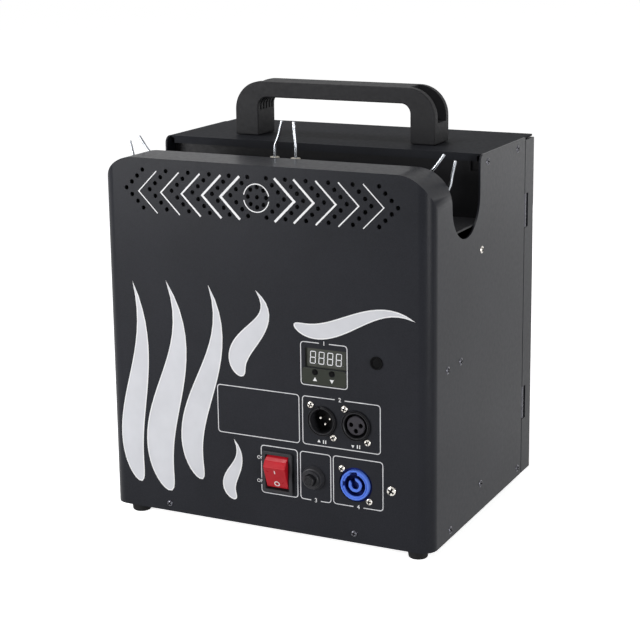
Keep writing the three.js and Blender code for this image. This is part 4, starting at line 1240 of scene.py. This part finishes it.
    def tongue(self, spine: Outline, width: float, steps: int = 26) -> list[Flat]:
        """The outline of a wavy tongue, round at its foot and drawn out to a point.

        Args:
            spine: The four points of the Bezier curve that it follows.
            width: Its greatest width.
            steps: How many points each side has.

        Returns:
            The outline, up one side and down the other.
        """
        start, first, second, end = (Vector(point) for point in spine)
        left, right = [], []
        for i in range(steps + 1):
            t = (i / steps) ** 1.5
            u = 1 - t
            middle = start * u ** 3 + first * 3 * u * u * t + second * 3 * u * t * t + end * t ** 3
            way = ((first - start) * u * u + (second - first) * 2 * u * t + (end - second) * t * t).normalized()
            swell = width / 2 * math.sqrt(t) * u ** 1.1 / self.swell_peak
            left.append((middle.x - way.y * swell, middle.y + way.x * swell))
            right.append((middle.x + way.y * swell, middle.y - way.x * swell))
        return left + right[-2:0:-1]

    def tongues(self) -> None:
        """Generic wavy tongues that rise side by side from the left, in silver with white rims."""
        for number, (*spine, width) in enumerate((
                ((-113.0, 22.0), (-137.0, 74.0), (-92.0, 122.0), (-115.0, 187.0), 20.0),
                ((-85.0, 18.0), (-118.0, 76.0), (-50.0, 124.0), (-84.0, 190.0), 25.0),
                ((-56.0, 32.0), (-88.0, 84.0), (-18.0, 130.0), (-46.0, 190.0), 20.0),
                ((-17.0, 122.0), (-38.0, 148.0), (22.0, 162.0), (-4.0, 190.0), 17.0),
                ((28.0, 168.0), (60.0, 150.0), (90.0, 197.0), (126.0, 180.0), 12.0),
                ((-26.0, 20.0), (-44.0, 36.0), (-12.0, 46.0), (-26.0, 68.0), 11.0)), 1):
            outline = self.tongue(spine, width)
            settle(self.flat(outline), f"pattern_tongue_{number}", SILVER_INK, smooth=30)
            rim = self.stroke(outline, self.rim, True)
            rim.data.transform(Matrix.Translation((0, -self.film - self.lift, 0)))
            settle(rim, f"pattern_rim_{number}", WHITE_INK, smooth=30)

    def build(self) -> None:
        """Prints everything."""
        film = self.flat(rounded_rectangle(34.1, 71.0, 122.3, 135.0, 2.4))
        settle(cut(film, *(bar(key, -2, 4, 2.6, 24) for key in KEYS)), "label_film", OLIVE_FILM, smooth=30)
        self.frames()
        self.vent_marks()
        self.symbols()
        self.tongues()


@dataclass
class Display:
    """The four digits behind their window, and the two buttons under them."""

    half_width: float = 18.25
    half_height: float = 8.6
    face_y: float = 2.1
    digit_height: float = 9.3
    digit_width: float = 4.2
    pitch: float = 7.25
    slant: float = 0.5
    stroke: float = 0.64

    def segment(self, x0: float, z0: float, x1: float, z1: float) -> Piece:
        """One light pipe between two points, with pointed ends.

        Args:
            x0: Where it starts.
            z0: The height there.
            x1: Where it ends.
            z1: The height there.

        Returns:
            The light pipe.
        """
        start, end = Vector((x0, z0)), Vector((x1, z1))
        inset = (end - start).normalized() * (self.stroke / 2)
        side = Vector((-inset.y, inset.x))
        corners = [start + inset * 0.3, start + inset + side, end - inset + side, end - inset * 0.3,
                   end - inset - side, start + inset - side]
        return carried([(c.x, c.y) for c in corners], Y, self.face_y - 0.12, self.face_y + 0.3)

    def digits(self) -> list[Piece]:
        """The segments of four leaning eights, each with its point.

        Returns:
            One piece for each segment and point.
        """
        x, z = DISPLAY
        low, high = z - self.digit_height / 2, z + self.digit_height / 2
        lean = self.slant / self.digit_height
        pieces = []
        for i in range(4):
            cx = x + (i - 1.5) * self.pitch - 0.4
            left, right = cx - self.digit_width / 2, cx + self.digit_width / 2
            for x0, z0, x1, z1 in (
                    (left, low, right, low), (left, z, right, z), (left, high, right, high), (left, low, left, z),
                    (right, low, right, z), (left, z, left, high), (right, z, right, high)):
                pieces.append(self.segment(x0 + lean * (z0 - z), z0, x1 + lean * (z1 - z), z1))
            pieces.append(bar((right + 1.2, low + 0.1), self.face_y - 0.1, 0.3, 0.5, 16))
        return pieces

    def build(self) -> None:
        """Makes the module, its digits and the buttons."""
        module = block(DISPLAY, self.half_width, self.half_height, 2.0, 11.7)
        settle(soften(module, 0.3, 2), "display_block", SMOKED_ACRYLIC, "display_module", smooth=30)
        settle(gathered(self.digits()), "display_digits", LIGHT_PIPE, smooth=30)
        for body, key in zip((Body.UP, Body.DOWN), KEYS):
            label = body.value
            # The near-black caps and rims are black plastic darkened further as painted shade of the keys' holes.
            cap = turned([(0, -0.7), (1.5, -0.7), (1.8, -0.4), (1.8, 11.1), (0, 11.1)], key, 28)
            settle(cap, f"{label}_key", HOLE_SHADE_PLASTIC, f"{label}_button", smooth=35, body=body)
            ring = turned([(2.0, -0.02), (2.35, -0.02), (2.35, -0.14), (2.0, -0.25), (2.0, -0.02)], key, 28)
            settle(ring, f"{label}_key_rim", HOLE_SHADE_PLASTIC, smooth=35, slot="gloss_black")


@dataclass
class PowerSwitch:
    """The red rocker in its black bezel."""

    pivot_y: float = 0.8
    tilt: float = math.pi / 15
    half_width: float = 9.4
    ridge: Flat = (-7.1, 6.9)
    foot: Flat = (-4.3, -11.7)

    def build(self) -> None:
        """Makes the bezel, the rocker and its two marks."""
        bezel = soften(plate(SWITCH, 16.5, 1.5, -2.3, -0.3), 0.5, 3)
        housing = cut(fused(bezel, block(SWITCH, 11.5, 14.5, -1.0, 24.0)), block(SWITCH, 10.3, 14.1, -6, 9.0))
        settle(housing, "switch_bezel", BEZEL_PLASTIC, "rocker_housing", smooth=30)
        ridge, foot = self.ridge, self.foot
        profile = [ridge, foot, (foot[0] + 1.0, foot[1] - 0.9), (0.5, -12.9), (5.0, -5.0), (5.0, 5.0), (3.0, 12.9),
                   (1.6, 13.2), (-3.6, 11.0)]
        rocker = soften(carried(profile, X, -self.half_width, self.half_width), 0.5, 3, 25)
        seat = Matrix.Translation((SWITCH[0], self.pivot_y, SWITCH[1])) @ Matrix.Rotation(self.tilt, 4, "X")
        rocker.data.transform(seat)
        settle(rocker, "rocker", RED_PLASTIC, "power_rocker", smooth=35, body=Body.ROCKER)
        line = box((-0.36, -0.14, -1.5), (0.36, 0.1, 1.5))
        ring = turned([(1.6, 0.1), (2.35, 0.1), (2.35, -0.06), (1.6, -0.06), (1.6, 0.1)], (0, 0), 28)
        slope = Matrix.Rotation(math.atan2(foot[0] - ridge[0], ridge[1] - foot[1]), 4, "X")
        for mark, share in ((line, 0.2), (ring, 0.8)):
            y, z = (a + (b - a) * share for a, b in zip(ridge, foot))
            mark.data.transform(seat @ Matrix.Translation((0, y, z)) @ slope)
        settle(gathered([line, ring]), "rocker_marks", WHITE_INK, smooth=35, slot="rocker_red", body=Body.ROCKER)


@dataclass
class RoundControls:
    """What is round on the panel: the breaker, the two signal sockets, the mains inlet and the hole's plug."""

    poles: tuple[float, ...] = (8, 172, 270)
    pole_circle: float = 4.0
    flange_half_height: float = 15.5
    flange_front: float = 1.8
    flange_back: float = 3.8

    def flange(self, middle: Flat, length: float, radius: float, hollow: float, bore: float) -> Piece:
        """The square flange behind the panel with the hollow barrel behind it.

        Args:
            middle: Its place on the panel.
            length: How long the barrel is.
            radius: The barrel's radius.
            hollow: How long the cutter is that starts before the panel.
            bore: The radius of the hollow.

        Returns:
            The flange.
        """
        square = plate(middle, self.flange_half_height, 3, self.flange_front, self.flange_back)
        whole = fused(square, bar(middle, self.flange_front, length, radius, 40))
        return cut(whole, bar(middle, -4, hollow, bore, 48))

    def breaker(self) -> None:
        """The round breaker with its stepped nut, and the reset button."""
        body = turned([
            (0, 5), (4.55, 5), (4.55, -5.6), (4.9, -5.9), (6.3, -5.9), (6.8, -5.4), (6.8, -3.9), (7.6, -3.9),
            (8.2, -3.6), (9.3, -0.9), (9.5, -0.3), (5.8, -0.3), (5.8, 1.8), (9, 1.8), (9, 29.8), (0, 29.8)],
            BREAKER, 48)
        settle(body, "breaker_case", BEZEL_PLASTIC, "breaker_body", slot="moulded_black")
        button = turned([(0, -8.9), (2.6, -8.9), (3.0, -9.5), (3.7, -9.5), (4.2, -9.0), (4.2, 4.7), (0, 4.7)],
                        BREAKER, 40)
        settle(button, "reset_cap", BLACK_PLASTIC, "reset_button", body=Body.RESET)

    def signals(self) -> None:
        """The three-pole round signal sockets, one with pins and one with holes."""
        profile = [(9.6, 3.4), (9.6, -1.2), (9.9, -1.5), (10.6, -1.5), (10.8, -1.2), (10.9, -0.2), (11.1, -0.2),
                   (11.2, -1.5), (11.4, -1.8), (11.7, -1.8), (11.8, -1.5), (11.8, 3.4), (9.6, 3.4)]
        x, z = SIGNAL_IN
        case = self.flange(SIGNAL_IN, 22.2, 11.2, 17, 9.6)
        shell = cut(turned(profile, SIGNAL_IN, 64), box((x - 1.9, -3, z + 8.6), (x + 1.9, -0.6, z + 13)))
        settle(gathered([case, shell]), "signal_in_socket", BLACK_PLASTIC, "signal_input")
        pins = [turned([(0, 5.0), (0.6, 5.0), (1.0, 5.3), (1.2, 6.0), (1.2, 13.2), (0, 13.2)],
                       around(SIGNAL_IN, self.pole_circle, angle), 20) for angle in self.poles]
        settle(gathered(pins), "signal_in_pins", NICKEL, smooth=35)
        case = self.flange(SIGNAL_OUT, 22.2, 11.2, 17, 9.6)
        settle(gathered([case, turned(profile, SIGNAL_OUT, 64)]), "signal_out_socket", BLACK_PLASTIC,
               "signal_output")
        insert = turned([(0, -0.6), (6.9, -0.6), (7.5, -0.1), (7.5, 13.2), (0, 13.2)], SIGNAL_OUT, 48)
        holes = [bar(around(SIGNAL_OUT, self.pole_circle, angle), -3, 9, 1.9, 24) for angle in self.poles]
        settle(cut(insert, *holes), "signal_out_insert", INSERT_PLASTIC)

    def inlet(self) -> None:
        """The blue twist-lock mains inlet: its case, its keyed ring, and the slit sleeve round a lined core. Case,
        core and liner are navy as painted shade of the inlet's depth.
        """
        # The navy case is painted shade of the inlet's depth.
        settle(self.flange(INLET, 28.2, 11.9, 19, 11.0), "inlet_case_in_shade", INLET_SHADE_NYLON)
        ring = turned([(8.8, -0.9), (8.8, -1.8), (9.0, -2.2), (9.7, -2.2), (9.9, -1.8), (10.2, -1.8), (10.4, -2.4),
                       (11.4, -2.4), (11.8, -2.0), (11.8, 3.4), (9.2, 3.4), (9.2, -0.9), (8.8, -0.9)], INLET, 72)
        sleeve = turned([(3.3, -0.2), (3.3, -1.1), (3.6, -1.5), (5.2, -1.5), (5.5, -1.1), (5.5, -0.2), (3.3, -0.2)],
                        INLET, 56)
        shank = turned([(3.3, 6.0), (3.3, -0.2), (5.5, -0.2), (5.5, 6.0), (3.3, 6.0)], INLET, 56)
        cutters = []
        for near, far, half, end, angle in (
                (7.0, 10.7, 3.2, 4, 97), (7.0, 10.5, 1.9, 4, 177), (1.5, 8.0, 2.4, 7, 117), (1.5, 8.0, 2.4, 7, 117)):
            cutter = box((near, -4, -half), (far, end, half))
            cutter.data.transform(Matrix.Translation((INLET[0], 0, INLET[1])) @ turn(-angle, "Y"))
            cutters.append(cutter)
        settle(cut(ring, *cutters[:2]), "inlet_ring", BLUE_NYLON, "power_inlet")
        settle(cut(sleeve, cutters[2]), "inlet_sleeve", BLUE_NYLON)
        # The navy core and its liner are painted shade of the inlet's depth.
        core = turned([(0, 2.4), (3.2, 2.4), (3.2, 5.0), (8.7, 5.0), (8.7, -0.8), (9.1, -0.8), (9.1, 14.9),
                       (0, 14.9)], INLET, 56)
        settle(gathered([core, cut(shank, cutters[3])]), "inlet_core_in_shade", INLET_SHADE_NYLON)

    def build(self) -> None:
        """Makes them in turn, and last the plug in the spare hole."""
        self.breaker()
        self.signals()
        self.inlet()
        # The near-black plug is black plastic darkened further as painted shade of the hole.
        plug = turned([(0, 0.3), (3.9, 0.3), (4.1, -0.7), (4.7, -1.1), (5.1, -0.8), (5.1, -0.3), (4.2, -0.3),
                       (4.2, 5), (0, 5)], SPARE_HOLE, 40)
        settle(plug, "spare_hole_plug", HOLE_SHADE_PLASTIC, "hole_plug", slot="foot_rubber")


@dataclass
class FuelBay:
    """The gas can with its cradle and spring clip, and the three valves above it."""

    centre: Flat = (0.0, 156.7)
    can_radius: float = 32.5
    can_foot: float = 5.1
    shoulder: float = 183.0
    neck_top: float = 213.9
    cradle_radius: float = 36.5
    cradle_wall: float = 3.4
    cradle_low: float = 1.8
    cradle_high: float = 25.8
    clip_low: float = 113.0
    clip_high: float = 131.0
    clip_outside: float = 34.3
    clip_inside: float = 32.75
    clip_opening: Flat = (144.4, 395.6)
    bay_front: float = 112.8
    valve_y: float = 122.0
    valve_low: float = 228.3
    valve_high: float = 258.3
    valve_half_width: float = 12.0
    valve_half_depth: float = 8.5
    valve_pitch: float = 40.0
    yoke: float = 1.3

    def can(self) -> None:
        """The drawn can: rolled seams, a domed shoulder, a crimped collar and its neck."""
        r, low, high = self.can_radius, self.can_foot, self.shoulder
        profile = [
            (0, low + 2.5), (r - 7, low + 2.2), (r - 3.2, low + 0.2), (r - 1.4, low), (r - 0.3, low + 0.6),
            (r, low + 1.8), (r, low + 3.2), (r - 0.5, low + 4.0), (r - 0.6, low + 5.5), (r - 0.6, high - 5.5),
            (r - 0.5, high - 4.0), (r, high - 3.2), (r, high - 0.6), (r - 0.6, high + 0.8), (r - 2.6, high + 3.0),
            (r - 6.0, high + 6.0), (r - 11, high + 9.0), (r - 16, high + 11.0), (r - 19.4, high + 11.8),
            (12.0, high + 12.4), (12.0, high + 17.2), (11.2, high + 18.0), (6.2, high + 18.0), (5.5, high + 18.6),
            (5.5, self.neck_top), (0, self.neck_top)]
        settle(spun(profile, Z, (*self.centre, 0), 72), "gas_can", CAN_STEEL, "fuel_can", smooth=40)

    def holders(self) -> None:
        """The cup under the can, open at the back, and the spring clip round it."""
        x, y = self.centre
        r, wall = self.cradle_radius, self.cradle_wall
        low, high = self.cradle_low, self.cradle_high
        profile = [(0, low), (r, low), (r, high - 1.2), (r - 1.0, high), (r - 2.2, high), (r - wall, high - 1.2),
                   (r - wall, low + 3), (0, low + 3)]
        opening = box((x - r + 3.2, y, low + 3), (x + r - 3.2, y + r + 2, high + 2))
        settle(cut(spun(profile, Z, (x, y, 0), 72), opening), "gas_can_cradle", MOULDED_ABS, "can_cradle", smooth=40)
        start, end = self.clip_opening
        outline = [*arc(self.centre, self.clip_outside, start, end, 56),
                   *arc(self.centre, self.clip_inside, end, start, 56)]
        band = soften(carried(outline, Z, self.clip_low, self.clip_high), 0.25, 2)
        stand = box((x - 11, self.bay_front, self.clip_low), (x + 11, y - self.clip_inside + 1.5, self.clip_high))
        stand = cut(stand, rod(Z, (x, y, self.clip_low - 2), 24, self.clip_inside + 0.7, 72))
        settle(gathered([band, stand]), "gas_can_clip", STAINLESS, "can_clip", smooth=40)

    def valves(self) -> None:
        """Potted coils in plated yokes, each with its cap."""
        half, low, high, sheet = self.valve_half_width, self.valve_low, self.valve_high, self.yoke
        front, back = self.valve_y - self.valve_half_depth, self.valve_y + self.valve_half_depth
        for label, index in SIDES:
            x = index * self.valve_pitch
            coil = soften(box((x - half + 0.2, front + 1.4, low + 1.4), (x + half - 0.2, back, high - 1.4)), 1.6, 3)
            coil = cut(coil, rod(Z, (x, self.valve_y, low - 2), 25.5, 3.2))
            settle(coil, f"valve_coil_{label}", POTTED_BLACK, f"solenoid_{label}", smooth=35)
            yoke = fused(*(box((x - half, front, foot), (x + half, far, top)) for far, foot, top in (
                (back, low, low + sheet), (front + sheet, low + 0.6, high - 0.6), (back, high - sheet, high))))
            yoke = cut(yoke, rod(Z, (x, self.valve_y, low - 2), 6, 3.3))
            cap = spun([(0, high), (5.0, high), (5.0, high + 3.2), (4.2, high + 4.0), (0, high + 4.0)], Z,
                       (x, self.valve_y, 0), 6)
            settle(gathered([yoke, cap]), f"valve_yoke_{label}", ZINC_SHEET, smooth=35)

    def build(self) -> None:
        """Makes everything in the bay."""
        self.can()
        self.holders()
        self.valves()


@dataclass
class DoorFittings:
    """The door's quarter-turn latch and its two hinges."""

    latch: Flat = (-118.0, 143.0)
    knob_front: float = 222.2
    cam_front: float = 205.8
    knob_radius: float = 11.0
    pin: Flat = (137.1, 204.6)
    pin_radius: float = 1.38
    bore_radius: float = 1.48
    knuckle_radius: float = 3.04
    leaf: Flat = (137.5, 138.7)
    leaf_front: float = 180.8
    leaf_back: float = 220.2
    hinge_height: float = 28.0
    feet: tuple[tuple[str, float], ...] = (("lower", 48.0), ("upper", 214.0))

    def make_latch(self) -> None:
        """The round knob with its wing, its shaft and the cam behind the door."""
        y, r = self.knob_front, self.knob_radius
        knob = turned([(0, y), (r - 0.6, y), (r, y + 0.6), (r, y + 3.6), (r - 1.4, y + 5.0), (0, y + 5.0)],
                      self.latch, 48)
        wing = soften(block(self.latch, 2.5, 9.1, y + 4.4, y + 11.0), 1.2, 3)
        shaft = bar(self.latch, self.cam_front, y - self.cam_front + 1.0, 4.0, 32)
        x, z = self.latch
        cam = soften(box((x - 5, self.cam_front, z - 18), (x + 5, self.cam_front + 2.0, z + 5)), 0.5, 2)
        settle(gathered([knob, wing, shaft, cam]), "latch_knob", BLACK_PLASTIC, "door_latch", smooth=35,
               slot="moulded_black", body=Body.LATCH)

    def make_hinge(self, label: str, foot: float) -> None:
        """One butt hinge: two knuckles on the cover's leaf and one on the door's.

        Args:
            label: Which hinge it is.
            foot: The height of its lower end.
        """
        x, y = self.pin
        near, far = self.leaf
        third, top = self.hinge_height / 3, foot + self.hinge_height
        fixed = [box((near, self.leaf_front, foot), (far, 199.6, top))]
        for low, high in ((foot, foot + third - 0.2), (foot + 2 * third + 0.2, top)):
            fixed += [box((near, 199.0, low), (far, y, high)),
                      rod(Z, (x, y, low), high - low, self.knuckle_radius, 40)]
        low, high = foot + third, foot + 2 * third
        moving = [rod(Z, (x, y, low), high - low, self.knuckle_radius, 40),
                  box((near, y, low), (far, self.leaf_back, high))]
        for pieces, name, node, body in (
                (fixed, "fixed", "cover", Body.CHASSIS), (moving, "door", "door", Body.DOOR)):
            leaf = cut(fused(*pieces), rod(Z, (x, y, foot - 2), self.hinge_height + 4, self.bore_radius, 24))
            settle(leaf, f"{label}_{name}_leaf", BLACK_OXIDE, f"{label}_hinge_{node}_leaf", slot="zinc_steel",
                   body=body)
        r = self.pin_radius
        pin = spun([(0, foot), (1.1, foot), (r, foot + 0.3), (r, top - 0.3), (1.1, top), (0, top)], Z, (x, y, 0), 24)
        settle(pin, f"{label}_pin", STAINLESS, f"{label}_hinge_pin", smooth=40)

    def build(self) -> None:
        """Makes the latch and both hinges."""
        self.make_latch()
        for label, foot in self.feet:
            self.make_hinge(label, foot)


class SheetAndFittings:
    """The flat and hidden parts whose shape already shows true, each with its own finish."""

    finishes = {
        # The trough and bulkhead are darkened to near black as painted shade inside the trough.
        TROUGH_SHADE_COAT: ["flame_trough", "bulkhead"],
        DULLED_COAT: ["rear_lid"],
        POWDER_COAT: ["rear_door", "base_plate"],
        ZINC_SHEET: ["latch_catch"],
        STAINLESS: [f"valve_plunger_{side}" for side, _ in SIDES],
        ALUMINIUM: ["gas_manifold", "power_supply"],
        BRASS: [f"gas_tube_{side}" for side, _ in SIDES],
        POTTED_BLACK: [f"ignition_coil_{side}" for side, _ in SIDES],
        BOARD: ["control_board"]}

    def build(self) -> None:
        """Gives each node its finish."""
        for finish, names in self.finishes.items():
            for name in names:
                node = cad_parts[name]
                node.data.materials.clear()
                node.data.materials.append(finish.build())
                LOG.info("finished %s with %s", name, finish.name)


@dataclass
class Studio:
    """The floor, the white surroundings, the soft lights and the camera at the photo's place."""

    floor_colour: str = "#8a8a8a"
    floor_seen: str = "#f2f2f2"
    floor_lift: float = 0.82
    floor_size: float = 12.0
    surround: float = 0.2
    place: Point = (0.5838, -1.1939, 0.4934)
    yaw: float = 0.458
    pitch: float = 0.214
    roll: float = 0.012
    lens: float = 93.27
    sensor: float = 36.0
    shift: float = -0.1
    middle: Point = (0, 0, 0.17)

    def shared(self, tree: Tree, output: str, felt: Socket, seen: Socket) -> None:
        """Ends a tree with two shaders: one for other rays, and one where it is seen.

        Args:
            tree: The tree.
            output: The kind of its output node.
            felt: What lights the scene.
            seen: What shows straight, in a reflection or through glass.
        """
        path = add_node(tree, "LightPath", {})
        share = path["Is Camera Ray"]
        for ray in ("Is Glossy Ray", "Is Transmission Ray"):
            share = add_node(tree, "Math", {0: share, 1: path[ray]}, operation="ADD", use_clamp=True)[0]
        both = add_node(tree, "MixShader", {0: share, 1: felt, 2: seen})
        add_node(tree, output, {"Surface": both[0]})

    def floor(self) -> None:
        """A plain pale floor under the feet."""
        clear_selection()
        bpy.ops.mesh.primitive_plane_add(size=self.floor_size)
        ground = bpy.context.object
        ground.name = "studio_floor"
        material = bpy.data.materials.new("studio_floor")
        tree = emptied(material)
        matt = add_node(tree, "BsdfDiffuse", {"Color": linear(self.floor_colour)})
        seen = add_node(tree, "BsdfDiffuse", {"Color": linear(self.floor_seen)})
        white = add_node(tree, "Emission", {"Color": linear("#ffffff"), "Strength": self.floor_lift})
        lifted = add_node(tree, "AddShader", {0: seen[0], 1: white[0]})
        self.shared(tree, "OutputMaterial", matt[0], lifted[0])
        ground.data.materials.append(material)

    def world(self) -> None:
        """White to the camera, and a plain light level to everything else."""
        world = bpy.data.worlds.new("studio")
        bpy.context.scene.world = world
        tree = emptied(world)
        seen, felt = (add_node(tree, "Background", {"Color": linear("#ffffff"), "Strength": strength})[0]
                      for strength in (1.0, self.surround))
        self.shared(tree, "OutputWorld", felt, seen)

    def light(self, name: str, place: Point, aim: Point, wide: float, tall: float, power: float) -> None:
        """A soft light with a rectangular face.

        Args:
            name: Its name.
            place: Where it stands.
            aim: The point it faces.
            wide: The width of its face.
            tall: The height of its face.
            power: Its power in watts.
        """
        lamp = bpy.data.lights.new(name, "AREA")
        lamp.shape = "RECTANGLE"
        lamp.size = wide
        lamp.size_y = tall
        lamp.energy = power
        holder = linked(name, lamp)
        holder.location = place
        holder.rotation_euler = (Vector(aim) - Vector(place)).to_track_quat("-Z", "Y").to_euler()
        holder.visible_camera = False

    def camera(self) -> None:
        """The camera, where the photo was taken from."""
        yaw, pitch = self.yaw, self.pitch
        ahead = Vector((-math.sin(yaw) * math.cos(pitch), math.cos(yaw) * math.cos(pitch), -math.sin(pitch)))
        right = Vector((math.cos(yaw), math.sin(yaw), 0))
        right = math.cos(self.roll) * right + math.sin(self.roll) * ahead.cross(right)
        eye = bpy.data.cameras.new("photo_view")
        eye.lens = self.lens
        eye.sensor_width = self.sensor
        eye.shift_y = self.shift
        holder = linked("photo_view", eye)
        axes = Matrix((right, -ahead.cross(right), -ahead)).transposed()
        holder.matrix_world = Matrix.Translation(self.place) @ axes.to_4x4()
        bpy.context.scene.camera = holder

    def build(self) -> None:
        """Sets the studio up."""
        self.floor()
        self.world()
        for row in (("front", (-0.62, -0.9, 0.33), (-0.08, 0, 0.22), 0.36, 0.36, 8.6),
                    ("side", (1.05, -0.52, 0.22), self.middle, 0.26, 0.42, 7),
                    ("back", (0.8, 1.35, 0.2), self.middle, 0.6, 0.38, 1.5),
                    ("rear", (-0.4, 1.3, 0.14), (0, 0.1, 0.14), 0.6, 0.24, 2),
                    ("top", (-0.9, -0.35, 2.0), self.middle, 0.6, 0.6, 14)):
            self.light(*row)
        self.camera()
        bpy.context.scene.view_settings.view_transform = "Standard"


def main() -> None:
    """Builds every sub-assembly in order, then the studio."""
    logging.basicConfig(level=logging.INFO, format="%(message)s")
    outward = math.pi / 7.2
    parts = [
        Cover(), CarryHandle(), Feet(),
        FlameHead("left", (-104.3, 43.5, 226.1), -outward),
        FlameHead("centre", (0.0, 43.5, 238.0), 0.0, tip_height=77.5, lean=2.5),
        FlameHead("right", (104.3, 43.5, 226.1), outward),
        Screws(), Print(), Display(), PowerSwitch(), RoundControls(), FuelBay(), DoorFittings(), SheetAndFittings(),
        Studio()]
    for part in parts:
        part.build()
        LOG.info("finished %s", type(part).__name__)


if __name__ == "__main__":
    main()
